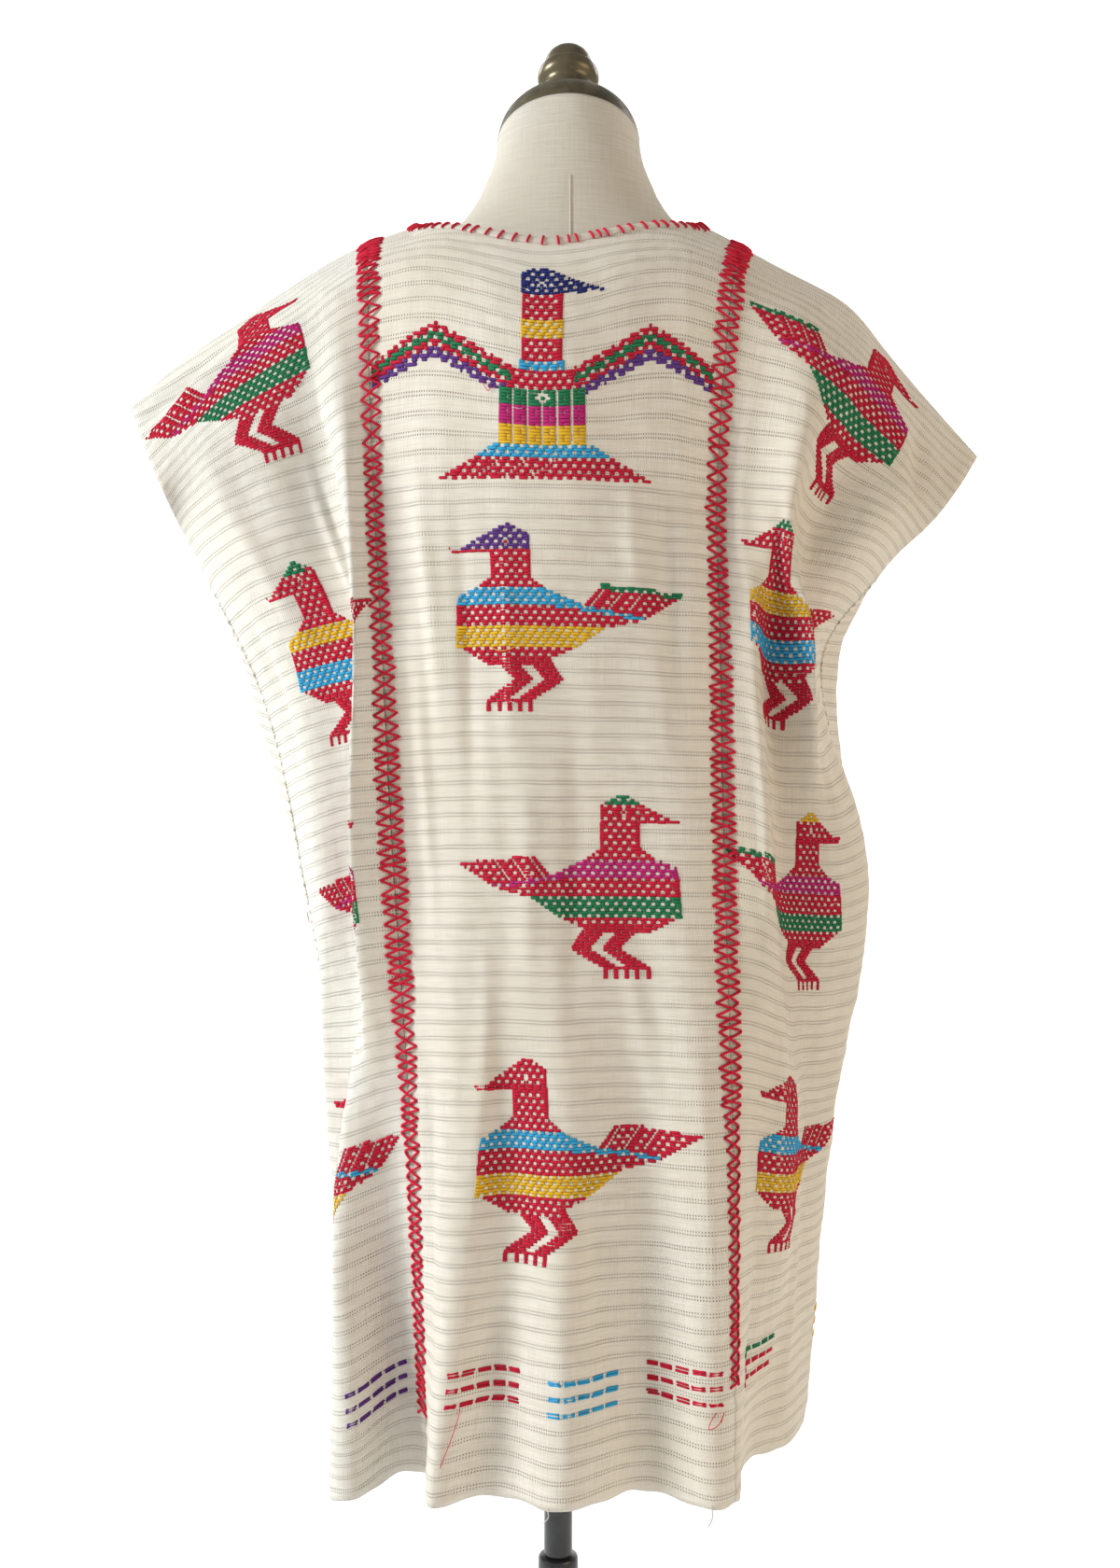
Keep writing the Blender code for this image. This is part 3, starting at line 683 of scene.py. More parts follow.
def cotton(name, colour, openwork=1.0, pitch=1.0, charted=True):
    """Handwoven unbleached cotton; without a chart of threads it runs on the piece's own place."""
    made, g, shader = finish(name, 0.92, Sheen_Weight=0.12, Sheen_Roughness=0.5,
                             Specular_IOR_Level=0.22)
    if charted:
        threads = g.node("ShaderNodeUVMap", uv_map="threads").outputs[0]
    else:
        place = g.node("ShaderNodeTexCoord").outputs["Object"]
        upright = {"Vector": place, "Rotation": (np.pi / 2, 0, 0)}
        threads = g.node("ShaderNodeMapping", upright).outputs[0]
    cloth_of = g.node("ShaderNodeGroup", node_tree=weave)
    g.put(cloth_of.inputs["Threads"], threads)
    g.put(cloth_of.inputs["Openwork"], openwork)
    g.put(cloth_of.inputs["Pitch"], pitch)
    # shade and light are the two ends of the woven tone: random slub tone and painted shade in the
    # hollows of the weave
    light = (*colour, 1.0)
    shade = (colour[0] * 0.80, colour[1] * 0.77, colour[2] * 0.70, 1.0)
    warm = (colour[0] * 0.97, colour[1] * 0.93, colour[2] * 0.85, 1.0)
    body = g.mix(g.math("ADD", cloth_of.outputs["Tone and shade"], 0.35, clamp=True), shade, light)
    age = g.between(g.noise(g.scaled(threads, (9, 6, 9)), 1.0, detail=3), 0.42, 0.75, 0.0, 0.55)
    body = g.mix(age, body, warm)
    # painted shadow: the openwork holes take the dark tan of the shade seen through them
    g.put(shader["Base Color"], g.mix(cloth_of.outputs["Holes"], body, HOLE_SHADOW_COLOUR))
    g.put(shader["Normal"], bumped(g, cloth_of.outputs["Height"], 0.0009, 0.9))
    return made


def dyed(name, colour, chart=None):
    """Dyed yarn; woven floats carry a chart along the yarn, sewn threads run on their own place."""
    made, g, shader = finish(name, 0.85, Sheen_Weight=0.04, Sheen_Roughness=0.4,
                             Specular_IOR_Level=0.2)
    if chart:
        place = g.node("ShaderNodeUVMap", uv_map=chart).outputs[0]
    else:
        own = g.node("ShaderNodeTexCoord").outputs["Object"]
        turned = {"Vector": own, "Rotation": (0, np.pi / 2, 0)}
        place = g.node("ShaderNodeMapping", turned).outputs[0]
    spun = g.node("ShaderNodeGroup", node_tree=yarn_twist)
    g.put(spun.inputs["Place"], place)
    # dark and pale are the two ends of the yarn's tone: random dye patches and painted shade in the
    # grooves of its twist
    dark = tuple(c * 0.62 for c in colour) + (1.0,)
    pale = tuple(min(1.0, c * 1.18 + 0.015) for c in colour) + (1.0,)
    light = g.math("ADD", spun.outputs["Tone and shade"], 0.5, clamp=True)
    g.put(shader["Base Color"], g.mix(light, dark, pale))
    g.put(shader["Normal"], bumped(g, spun.outputs["Height"], 0.0003, 0.7))
    return made


def bronze(name, bright, dark, rough):
    """Brown bronze, duller and rougher where the patina lies."""
    made, g, shader = finish(name, rough, Metallic=0.45, Coat_Weight=0.12,
                             Coat_Roughness=0.25, Specular_IOR_Level=0.25)
    place = g.node("ShaderNodeTexCoord").outputs["Object"]
    worn = g.node("ShaderNodeGroup", {0: place}, node_tree=patina).outputs
    g.put(shader["Base Color"], g.mix(worn["Patina"], (*dark, 1.0), (*bright, 1.0)))
    g.put(shader["Roughness"], g.between(worn["Patina"], 0.0, 1.0, rough + 0.18, rough))
    g.put(shader["Normal"], bumped(g, worn["Scratches"], 0.00008, 0.4))
    return made


def enamel(name, colour, rough):
    """Black stove enamel with faint dust."""
    made, g, shader = finish(name, rough, Coat_Weight=0.35, Coat_Roughness=0.2)
    place = g.node("ShaderNodeTexCoord").outputs["Object"]
    worn = g.node("ShaderNodeGroup", {0: place}, node_tree=patina).outputs
    dusty = tuple(c + 0.02 for c in colour) + (1.0,)
    g.put(shader["Base Color"], g.mix(worn["Patina"], (*colour, 1.0), dusty))
    g.put(shader["Roughness"], g.between(worn["Patina"], 0.0, 1.0, rough, rough + 0.15))
    g.put(shader["Normal"], bumped(g, worn["Scratches"], 0.00005, 0.3))
    return made


# painted light: the left web is coloured cooler and paler and the right web warmer and darker than
# the centre, standing in for cool light from the left and warm light from the right
centre_cotton = cotton("centre_cotton", (0.84, 0.79, 0.70))
left_cotton_painted_cool_light = cotton("left_cotton_painted_cool_light", (0.83, 0.80, 0.73))
right_cotton_painted_warm_shade = cotton("right_cotton_painted_warm_shade", (0.83, 0.765, 0.655))
band_cotton = cotton("band_cotton", (0.80, 0.745, 0.67), openwork=0.0, charted=False)
form_linen = cotton("form_linen", (0.78, 0.735, 0.645), openwork=0.0, pitch=0.42, charted=False)
DYES = {"red": (0.66, 0.006, 0.040), "magenta": (0.60, 0.014, 0.20), "green": (0.012, 0.22, 0.085),
        "yellow": (0.95, 0.52, 0.018), "blue": (0.035, 0.42, 0.74), "navy": (0.012, 0.022, 0.18),
        "purple": (0.135, 0.04, 0.27)}
YARNS = list(DYES)
floats_dyed = [dyed(f"{y}_yarn", DYES[y], "yarn") for y in YARNS]
red_thread = dyed("red_thread", (0.68, 0.006, 0.038))
cream_thread = dyed("cream_thread", (0.78, 0.74, 0.66))
yellow_thread = dyed("yellow_thread", (0.86, 0.50, 0.03))
bronze_cap = bronze("bronze_cap", (0.15, 0.125, 0.07), (0.07, 0.058, 0.032), 0.42)
bronze_knob = bronze("bronze_knob", (0.16, 0.13, 0.075), (0.07, 0.058, 0.035), 0.30)
black_pole = enamel("black_pole", (0.012, 0.012, 0.013), 0.28)
black_base = enamel("black_base", (0.016, 0.016, 0.017), 0.42)


# ---------------------------------------------------------------- brocaded birds

PICK = 0.0022            # height of one row of brocade
TIE = 0.0078             # a warp thread ties the yarn down this often, staggered row by row
TIE_GAP = 0.0032         # cloth that shows at a tie
BUTTED = 0.00008         # the hair's breadth between floats at a tie that doesn't show
TIE_EDGE = 0.0030        # no tie lies closer than this to the end of a float
SHORTEST = 0.0012        # a shorter float is left out
CELL = 0.0006            # step across a design when its floats are read off

# Outlines are in millimetres, x along the weft, y up from the toes. A bird faces -x.


def bird(head, neck, chest, back, band, belly, tip=None, sliver=None, cap=None):
    """A standing bird: yarn, whether the yarn is tied down, and outline of each coloured part."""
    shapes = [
        (back, True, [(64, 76), (80, 92), (150, 87), (118, 69), (70, 70)]),
        (chest, True, [(-45, 76), (-43, 84), (-26, 90), (31, 90), (66, 77), (70, 72), (40, 76)]),
        (sliver or chest, True, [(60, 78), (118, 70), (112, 66.5), (66, 73)]),
        (back, True, [(-46, 61), (-45, 76), (40, 76), (70, 73), (114, 67.5), (84, 61)]),
        (band, True, [(-47, 46), (-46, 61), (84, 61), (58, 46)]),
        (belly, True, [(-43, 46), (58, 46), (24, 34), (-19, 34)]),
        (neck, True, [(-13.5, 118), (21, 118), (21, 97), (33, 90), (-26, 90), (-13.5, 98)]),
        (head, True, [(-40, 119), (-2, 137), (3, 138), (20, 130), (20, 117), (-44, 117)]),
        (neck, False, [(-48, 120), (-44, 116), (20, 116), (20, 118.2), (-30, 119)]),
        (belly, False, [(-13, 38), (5, 38), (21, 22.6), (-2, 8), (-21, 8), (5, 22.6)]),
        (belly, False, [(15, 38), (36, 38), (48, 22.6), (20, 8), (6, 8), (31, 22.6)]),
        (belly, False, [(-20, 9), (20, 9), (20, 6), (-21, 6)]),
        (None, False, [(0, 128), (3, 124.5), (0, 121), (-3, 124.5)]),
    ]
    for x in (-21, -11, -2, 7, 16):
        shapes.append((belly, False, [(x, 7), (x + 4, 7), (x + 4, 0), (x, 0)]))
    for k in range(3):
        x = 84 + 17 * k
        shapes.append((None, False, [(x, 92), (x + 1.6, 92), (x - 14, 74), (x - 16, 74)]))
    if tip:
        shapes.append((tip, True, [(79, 94), (150, 90), (149, 86), (81, 89.5)]))
    if cap:
        shapes.append((cap, True, [(-16, 130.5), (-2, 138), (3, 138), (17, 131)]))
    shapes.append((neck, False, [(-1.5, 125.5), (1.5, 125.5), (1.5, 123.5), (-1.5, 123.5)]))
    return shapes


def winged_bird(head, neck, rings, chest, wing, columns, skirt, tail):
    """A bird seen with spread wings over a standing base of columns."""
    shapes = [
        (head, True, [(-21, 129), (-21, 146), (-9, 153), (4, 150), (48, 126), (14, 130),
                      (14, 127)]),
        (neck, True, [(-20, 129), (14, 129), (14, 72), (-20, 72)]),
        (rings[0], True, [(-20.5, 110), (15, 110), (15, 96), (-20.5, 96)]),
        (rings[1], True, [(-22, 82), (16, 82), (16, 72), (-22, 72)]),
        (chest, True, [(-30, 74), (24, 74), (52, 66), (40, 61), (-44, 61), (-60, 66)]),
        (None, False, [(-4, 141), (1, 138), (-4, 135), (-9, 138)]),
        (head, False, [(-5.5, 139), (-2.5, 139), (-2.5, 137), (-5.5, 137)]),
    ]
    depth = 0.0
    for yarn, thick in wing:
        for side in (-1, 1):
            line = [(26, 76), (88, 94), (140, 72)]
            outer = [(side * x - 2, y - depth) for x, y in line]
            inner = [(side * x - 2, y - depth - thick) for x, y in reversed(line)]
            outer[-1] = (outer[-1][0], outer[-1][1] + depth * 0.35)
            inner[0] = (inner[0][0], inner[0][1] + (depth + thick) * 0.35)
            shapes.append((yarn, True, outer + inner))
        depth += thick
    tops = (62, 51, 37.5, 25)
    for yarn, top, foot in zip(columns, tops, tops[1:]):
        for k in range(6):
            x = -38 + 12.1 * k
            shapes.append((yarn, False, [(x, top), (x + 10.6, top), (x + 10.6, foot), (x, foot)]))
    shapes += [
        (None, False, [(-2, 61), (5, 56.5), (-2, 52), (-9, 56.5)]),
        (columns[0], False, [(-4, 58), (0, 58), (0, 55), (-4, 55)]),
        (skirt, True, [(-40, 25), (36, 25), (54, 15.5), (-57, 15.5)]),
        (tail, True, [(-56, 15.5), (54, 15.5), (90, 0), (-88, 0)]),
    ]
    for x in (-36, -14, 8):
        shapes.append((None, False, [(x, 15), (x + 1.5, 15), (x - 22, 0), (x - 24, 0)]))
    return shapes


perched = {
    "blue banded": bird("purple", "red", "blue", "red", "yellow", "red", tip="green"),
    "green banded": bird("red", "red", "magenta", "red", "green", "red", cap="green"),
    "yellow banded": bird("red", "red", "blue", "red", "yellow", "red", sliver="blue"),
    "shoulder": bird("red", "red", "magenta", "red", "green", "red"),
    "shoulder tipped": bird("red", "red", "magenta", "red", "green", "red", tip="green"),
    "yellow chested": bird("red", "red", "yellow", "red", "blue", "red", cap="green"),
    "yellow capped": bird("red", "red", "magenta", "red", "green", "red", tip="green",
                          cap="yellow"),
}
spread = winged_bird("navy", "red", ("yellow", "blue"), "red",
                     (("red", 5), ("green", 5), ("red", 4.5), ("purple", 6.5)),
                     ("green", "magenta", "yellow"), "blue", "red")

# web, side, design, u and v of the toes in millimetres, facing (+1 as drawn), width and height
BIRDS = (
    ("centre", "back", "spread", -1, 229, 1, 1.0, 1.0),
    ("centre", "back", "blue banded", -35, 400, 1, 1.0, 1.0),
    ("centre", "back", "green banded", 63, 591, -1, 1.0, 0.96),
    ("centre", "back", "yellow banded", -32, 793, 1, 1.04, 1.06),
    ("left", "back", "shoulder", -256, 188, -1, 0.87, 1.14),
    ("left", "back", "yellow chested", -281, 401, 1, 0.86, 1.0),
    ("left", "back", "green banded", -214, 590, -1, 0.86, 0.97),
    ("left", "back", "yellow banded", -287, 793, 1, 0.86, 1.04),
    ("right", "back", "shoulder tipped", 289, 204, -1, 0.86, 1.12),
    ("right", "back", "yellow chested", 222, 388, 1, 0.98, 1.04),
    ("right", "back", "yellow capped", 272, 584, -1, 0.84, 0.99),
    ("right", "back", "yellow banded", 219, 794, 1, 0.82, 1.04),
    ("centre", "front", "spread", 2, 262, 1, 1.0, 1.0),
    ("centre", "front", "yellow banded", 30, 440, -1, 1.0, 1.0),
    ("centre", "front", "blue banded", -34, 622, 1, 1.0, 1.0),
    ("centre", "front", "green banded", 46, 806, -1, 1.0, 0.98),
    ("left", "front", "shoulder tipped", -262, 236, 1, 0.84, 1.05),
    ("left", "front", "blue banded", -276, 430, 1, 0.86, 1.0),
    ("left", "front", "yellow capped", -226, 618, -1, 0.86, 1.0),
    ("left", "front", "yellow banded", -278, 806, 1, 0.86, 1.0),
    ("right", "front", "shoulder", 264, 232, -1, 0.84, 1.05),
    ("right", "front", "green banded", 276, 436, -1, 0.86, 1.0),
    ("right", "front", "yellow chested", 222, 622, 1, 0.86, 1.0),
    ("right", "front", "blue banded", 280, 810, -1, 0.86, 1.0),
)
# dashes near the hem: web, side, yarn of the top, middle and low row, u and v of the left end
DASHES = (
    ("left", "back", ("purple",) * 3, -226, 872), ("centre", "back", ("red",) * 3, -91, 869),
    ("centre", "back", ("blue",) * 3, -7, 873), ("centre", "back", ("red",) * 3, 75, 867),
    ("right", "back", ("green", "red", "red"), 172, 865),
    ("right", "back", ("yellow",) * 3, 328, 868),
    ("left", "back", ("blue",) * 3, -336, 872),
    ("left", "front", ("red",) * 3, -216, 876), ("left", "front", ("blue",) * 3, -326, 878),
    ("centre", "front", ("purple",) * 3, -92, 878), ("centre", "front", ("red",) * 3, -4, 876),
    ("centre", "front", ("blue",) * 3, 82, 878), ("right", "front", ("red",) * 3, 168, 878),
    ("right", "front", ("yellow",) * 3, 262, 876),
)


def inside(x, y, outline):
    """Which points lie within a closed outline, by counting crossings."""
    hit = np.zeros(x.shape, bool)
    for (x1, y1), (x2, y2) in zip(outline, outline[1:] + outline[:1]):
        if y1 != y2:
            crosses = (y1 > y) != (y2 > y)
            hit ^= crosses & (x < (x2 - x1) * (y - y1) / (y2 - y1) + x1)
    return hit


def floats_of(shapes, u0, v0, facing, wide, tall):
    """The floats of a design, row by row: left end, right end, distance down the web, yarn."""
    xs = [x for _, _, outline in shapes for x, _ in outline]
    top = max(y for _, _, outline in shapes for _, y in outline) / 1000 * tall
    x = np.arange(min(xs) / 1000 * wide, max(xs) / 1000 * wide, CELL)
    rise = (np.arange(int(top / PICK) + 1) + 0.5) * PICK
    grid_x, grid_y = np.meshgrid(x / wide * 1000, rise / tall * 1000)
    yarn = np.zeros(grid_x.shape, int)
    tied = np.zeros(grid_x.shape, bool)
    for name, bound, outline in shapes:
        hit = inside(grid_x, grid_y, outline)
        yarn[hit] = YARNS.index(name) + 1 if name else 0
        tied[hit] = bound
    made = []
    for k, height in enumerate(rise):
        line = np.concatenate([[0], yarn[k], [0]])
        cuts = np.flatnonzero(np.diff(line))
        for a, b in zip(cuts, cuts[1:]):
            if line[a + 1] == 0:
                continue
            low, high = x[a] - CELL / 2, x[b - 1] + CELL / 2
            shift = k // 2 % 2 / 2
            first = np.ceil(low / TIE - shift) + shift
            ties = np.arange(first, high / TIE + 1e-6, 1.0) * TIE
            ends = [low, *(t for t in ties if low + TIE_EDGE < t < high - TIE_EDGE), high]
            dip = TIE_GAP / 2 if tied[k, (a + b - 1) // 2] and k % 2 == 0 else BUTTED
            for left_end, right_end in zip(ends, ends[1:]):
                gap = [dip * (e not in (low, high)) for e in (left_end, right_end)]
                pair = (left_end + gap[0], right_end - gap[1])
                u = sorted(u0 + facing * e for e in pair)
                if u[1] - u[0] > SHORTEST:
                    made.append((*u, v0 - height, line[a + 1] - 1))
    return made


def dashes_of(yarns, u0, v0):
    """Three rows of five dashes, each of two strands."""
    made = []
    for row, yarn in enumerate(yarns):
        for k in range(5):
            for strand in (-0.0009, 0.0009):
                u = u0 + 0.0121 * k + rng.uniform(-0.0006, 0.0006)
                v = v0 + 0.0107 * row + strand + rng.uniform(-0.0003, 0.0003)
                made.append((u, u + 0.0098, v, YARNS.index(yarn)))
    return made


def float_master():
    """One float of yarn: flat below, round on top, four stations long, charted along its yarn."""
    bm = bmesh.new()
    bmesh.ops.create_cone(bm, cap_ends=True, segments=3, radius1=1, radius2=1, depth=2)
    for z in (-0.5, 0.5):
        geom = bm.verts[:] + bm.edges[:] + bm.faces[:]
        bmesh.ops.bisect_plane(bm, geom=geom, plane_co=(0, 0, z), plane_no=(0, 0, 1))
    chart = bm.loops.layers.uv.new("yarn")
    for vert in bm.verts:
        along = vert.co.z
        height = float(vert.co.y > 0.5)
        across = 0.0 if height else np.sign(vert.co.x)
        vert.co = (along, across, height)
        for loop in vert.link_loops:
            loop[chart].uv = (along * 0.0036, across * 0.0011)
    return to_mesh(bm, "float", dist=0)


def brocade(name, web, side, rows, thick=0.00075, width=PICK):
    """All the floats of one web, an array of the master laid out on the cloth."""
    rows = np.array([r for r in rows if r[0] > web.u[0] + 0.001 and r[1] < web.u[-1] - 0.001])
    master = bpy.data.objects.new("float", float_mesh)
    bpy.context.scene.collection.objects.link(master)
    array = master.modifiers.new("floats", "ARRAY")
    array.count = len(rows)
    array.use_relative_offset = False
    array.use_constant_offset = True
    array.constant_offset_displace = (3, 0, 0)
    graph = bpy.context.evaluated_depsgraph_get()
    mesh = bpy.data.meshes.new_from_object(master.evaluated_get(graph), depsgraph=graph)
    mesh.name = name
    bpy.data.objects.remove(master)
    local = np.zeros(len(mesh.vertices) * 3)
    mesh.vertices.foreach_get("co", local)
    local = local.reshape(len(rows), -1, 3)
    along = local[..., 0] - 3 * np.arange(len(rows))[:, None]
    across, height = local[..., 1], local[..., 2]
    uneven = rng.uniform(0.88, 1.12, (2, len(rows), 1))
    full = np.where(np.abs(along) > 0.9, 0.55, 1.0)
    half = (rows[:, 1] - rows[:, 0])[:, None] / 2
    inner = np.clip(1 - 0.0006 / half, 0.2, 0.9)
    along = np.where(np.abs(along) > 0.9, np.sign(along), np.sign(along) * inner)
    u = (rows[:, 0] + rows[:, 1])[:, None] / 2 + along * half
    wander = rng.uniform(-0.00018, 0.00018, (len(rows), 1))
    v = side * (rows[:, 2][:, None] + wander + across * full * width * 0.56 * uneven[0])
    lift = FACE + 0.0001 + height * full * thick * uneven[1]
    mesh.vertices.foreach_set("co", web.at(u, v, lift).ravel())
    faces = len(mesh.polygons) // len(rows)
    made = piece(mesh, name, floats_dyed)
    mesh.polygons.foreach_set("material_index", np.repeat(rows[:, 3].astype(np.int32), faces))
    bm = bmesh.new()
    bm.from_mesh(mesh)
    bmesh.ops.recalc_face_normals(bm, faces=bm.faces)
    bm.to_mesh(mesh)
    bm.free()
    return made


# ---------------------------------------------------------------- the three webs

webs = {"centre": centre, "left": left, "right": right}
for name, web, material in (("centre", centre, centre_cotton), ("left", left, left_cotton_painted_cool_light),
                            ("right", right, right_cotton_painted_warm_shade)):
    made = piece(web_mesh(web, f"{name}_web"), f"{name}_web", [material],
                 [f"{name}_panel"])
    wall = made.modifiers.new("cloth", "SOLIDIFY")
    wall.thickness = CLOTH
    wall.offset = 0.0

float_mesh = float_master()
sewn_on = {name: [] for name in webs}
for name, web in webs.items():
    for side_name, side in (("back", 1), ("front", -1)):
        rows = []
        for where, half, design, u, v, facing, wide, tall in BIRDS:
            if (where, half) == (name, side_name):
                shapes = spread if design == "spread" else perched[design]
                rows += floats_of(shapes, u / 1000, v / 1000, facing, wide, tall)
        sewn_on[name].append(brocade(f"{name}_{side_name}_birds", web, side, rows))
        rows = []
        for where, half, yarns, u, v in DASHES:
            if (where, half) == (name, side_name):
                rows += dashes_of(yarns, u / 1000, v / 1000)
        sewn_on[name].append(brocade(f"{name}_{side_name}_dashes", web, side, rows,
                                     thick=0.0009, width=0.0018))


# ---------------------------------------------------------------- stitched seams and edges

def at_seam(u, v, lift):
    """Points beside a seam, on whichever web lies there."""
    u, v, lift = np.broadcast_arrays(u, v, lift)
    out = np.zeros((*u.shape, 3))
    for web, use in ((left, u < -SEAM), (right, u > SEAM), (centre, np.abs(u) <= SEAM)):
        if use.any():
            out[use] = web.at(np.clip(u[use], web.u[0], web.u[-1]), v[use], lift[use])
    return out


RANDA_REACH = 0.0092     # seam to the turn of a stitch
SEWING = 0.00095         # half thickness of the doubled red thread


def randa(name, seam, foot_back, foot_front):
    """Two crossing zigzags of doubled red thread that join two webs and cover their seam."""
    marks = [-foot_front]
    while marks[-1] < foot_back:
        marks.append(marks[-1] + RANDA_PITCH * rng.uniform(0.80, 1.22))
    marks = np.array(marks)
    paths = []
    for lead, high in ((1, 0.0), (-1, 0.0008)):
        turns = np.concatenate([marks, marks[:-1] + np.diff(marks) * 0.5])
        turns = np.sort(turns) + rng.uniform(-0.0012, 0.0012, len(turns))
        reach = RANDA_REACH * rng.uniform(0.84, 1.1, len(turns))
        if seam > 0:
            reach *= 1 - 0.5 * ease(turns, 0.64, 0.74)
        u, v, lift = [], [], []
        for k, (place, wide) in enumerate(zip(turns, reach)):
            sign = lead * (-1) ** k
            u += [seam + sign * wide * s for s in (0.93, 1.0, 0.95)]
            v += [place - 0.0006, place, place + 0.0007]
            lift += [0.0015, 0.0008, 0.0015]
            if k + 1 < len(turns):
                u.append(seam + sign * 0.0006)
                v.append((place + turns[k + 1]) / 2)
                lift.append(0.0021 + high)
        flat = rounded(np.c_[u, v, lift], steps=2)
        paths.append(at_seam(flat[:, 0], flat[:, 1], flat[:, 2]))
    return piece(tubes(paths, SEWING, name), name, [red_thread])


left_randa = randa("left_randa", -SEAM, 0.898, 0.892)
right_randa = randa("right_randa", SEAM, 0.872, 0.896)


def side_stitches(name, side):
    """Cream overcast stitches that close the side seam below the armhole."""
    web = right if side > 0 else left
    paths = []
    for v in np.arange(SLIT + 0.012, HALF_LENGTH - 0.01, 0.0075):
        back = [(HALF_WIDTH - off, v + 0.0012 * off / 0.003, lift)
                for off, lift in ((0.0032, 0.0004), (0.0024, 0.0012), (0.0009, 0.0014))]
        front = [(HALF_WIDTH - off, -v - 0.003, lift)
                 for off, lift in ((0.0009, 0.0014), (0.0024, 0.0012), (0.0032, 0.0004))]
        points = np.array(back + front)
        paths.append(rounded(web.at(side * points[:, 0], points[:, 1], points[:, 2]), steps=2))
    return piece(tubes(paths, 0.0004, name), name, [cream_thread])


def web_name(side):
    return "right" if side > 0 else "left"


side_seams = [side_stitches(f"{web_name(s)}_side_stitches", s) for s in (-1, 1)]


def neck_ring(steps=240):
    """Edge of the neck opening with its directions: along it, up out of the cloth, outward."""
    turn = np.linspace(0, 2 * np.pi, steps, endpoint=False)
    u = NECK * np.cos(turn)
    behind = np.sin(turn) >= 0
    v = np.where(behind, opening_v(u, True), opening_v(u, False))

    def neck_point(scale):
        both = [cloth(scale * u, scale * v, back) for back in (True, False)]
        return np.where(behind[:, None], *both)
    edge, inner = neck_point(1.0), neck_point(0.93)
    along = np.roll(edge, -1, axis=0) - np.roll(edge, 1, axis=0)
    along /= np.linalg.norm(along, axis=1)[:, None]
    up = inner - edge
    up -= along * np.sum(up * along, axis=1)[:, None]
    up /= np.linalg.norm(up, axis=1)[:, None]
    out = np.cross(along, up)
    toward = np.sign(np.sum(out * (edge - edge.mean(0)), axis=1))
    return edge, along, up, out * toward[:, None], turn


edge, along, up, out, turn = neck_ring()
around = np.linspace(0, 2 * np.pi, 17)
plump = 1 + 0.06 * np.sin(turn * 57) + 0.05 * np.sin(turn * 23 + 1)
section_up = BAND * (0.38 - 0.66 * np.cos(around))
section_out = 0.00145 * np.sign(np.sin(around)) * np.abs(np.sin(around)) ** 0.6
band_place = (edge[None] + up[None] * (section_up[:, None] * np.ones(len(turn)))[..., None]
              + out[None] * (section_out[:, None] * plump)[..., None])
band_place = np.concatenate([band_place, band_place[:, :1]], axis=1)
band = piece(to_mesh(laid_grid(band_place), "neck_band"), "neck_band", [band_cotton],
             ["neck_binding"])

whips = []
girth = np.concatenate([[0], np.cumsum(np.linalg.norm(np.diff(edge, axis=0), axis=1))])
where = 0.004
while where < girth[-1]:
    k = np.interp(where, girth, np.arange(len(girth)))
    i = int(k)
    slant = rng.uniform(-0.0012, 0.0012)
    deep = rng.uniform(0.0010, 0.0030)
    loop = [(0.0010, -deep - 0.001, 0.3), (0.0020, -deep, 0.5), (0.0023, 0.0020, 0.3),
            (0.0021, 0.0046, 0.1), (0.0006, BAND + 0.0004, 0.0), (-0.0020, 0.0044, -0.1),
            (-0.0021, 0.0010, -0.3)]
    whips.append(rounded([edge[i] + out[i] * o + up[i] * a + along[i] * slant * s
                          for o, a, s in loop], steps=3))
    where += rng.choice((0.0062, 0.0095, 0.0105, 0.0115), p=(0.2, 0.3, 0.3, 0.2))
neck_stitches = piece(tubes(whips, SEWING, "neck_whip_stitches"), "neck_whip_stitches",
                      [red_thread])


def loose(name, start_u, start_v, drop, material, radius=0.0003):
    """A thread end that has come free and hangs in front of the cloth."""
    start = at_seam(np.array([start_u]), np.array([start_v]), np.array([0.0012]))[0]
    points = [start + Vector(d) for d in drop]
    return piece(tubes([rounded(points, steps=5)], radius, name), name, [material])


loose_ends = [
    loose("loose_red_end", -0.078, 0.893,
          [(0, 0, 0), (-0.002, -0.003, -0.008), (-0.007, -0.005, -0.022),
           (-0.013, -0.004, -0.038), (-0.016, -0.003, -0.048)], red_thread),
    loose("loose_red_loop", 0.128, 0.893,
          [(0, 0, 0), (-0.004, -0.004, -0.004), (-0.006, -0.005, -0.010),
           (0.001, -0.004, -0.007), (0.005, -0.003, 0.001), (0.003, -0.002, -0.006)], red_thread),
    loose("loose_yellow_end", -0.026, 0.350,
          [(-0.020, -0.001, -0.004), (-0.012, -0.003, -0.007),
           (0.0, -0.003, -0.003), (0.008, -0.002, 0.003)], yellow_thread),
    loose("loose_chest_end", -0.052, 0.166,
          [(0, 0, 0), (0.001, -0.002, -0.004), (0.004, -0.003, -0.008),
           (0.006, -0.002, -0.004)], red_thread),
    loose("loose_hem_end", -0.006, 0.958,
          [(0, 0, 0), (0.001, -0.001, -0.006), (-0.003, -0.002, -0.010)], cream_thread),
    loose("loose_corner_end", 0.123, 0.957,
          [(0, 0, 0), (0.001, -0.001, -0.007), (-0.002, -0.002, -0.014)], cream_thread, 0.0005),
]

for side in (-1, 1):
    name = web_name(side)


# ---------------------------------------------------------------- dress form and stand

PRESSED = 1.378          # height of the seam that runs round the form under its cap


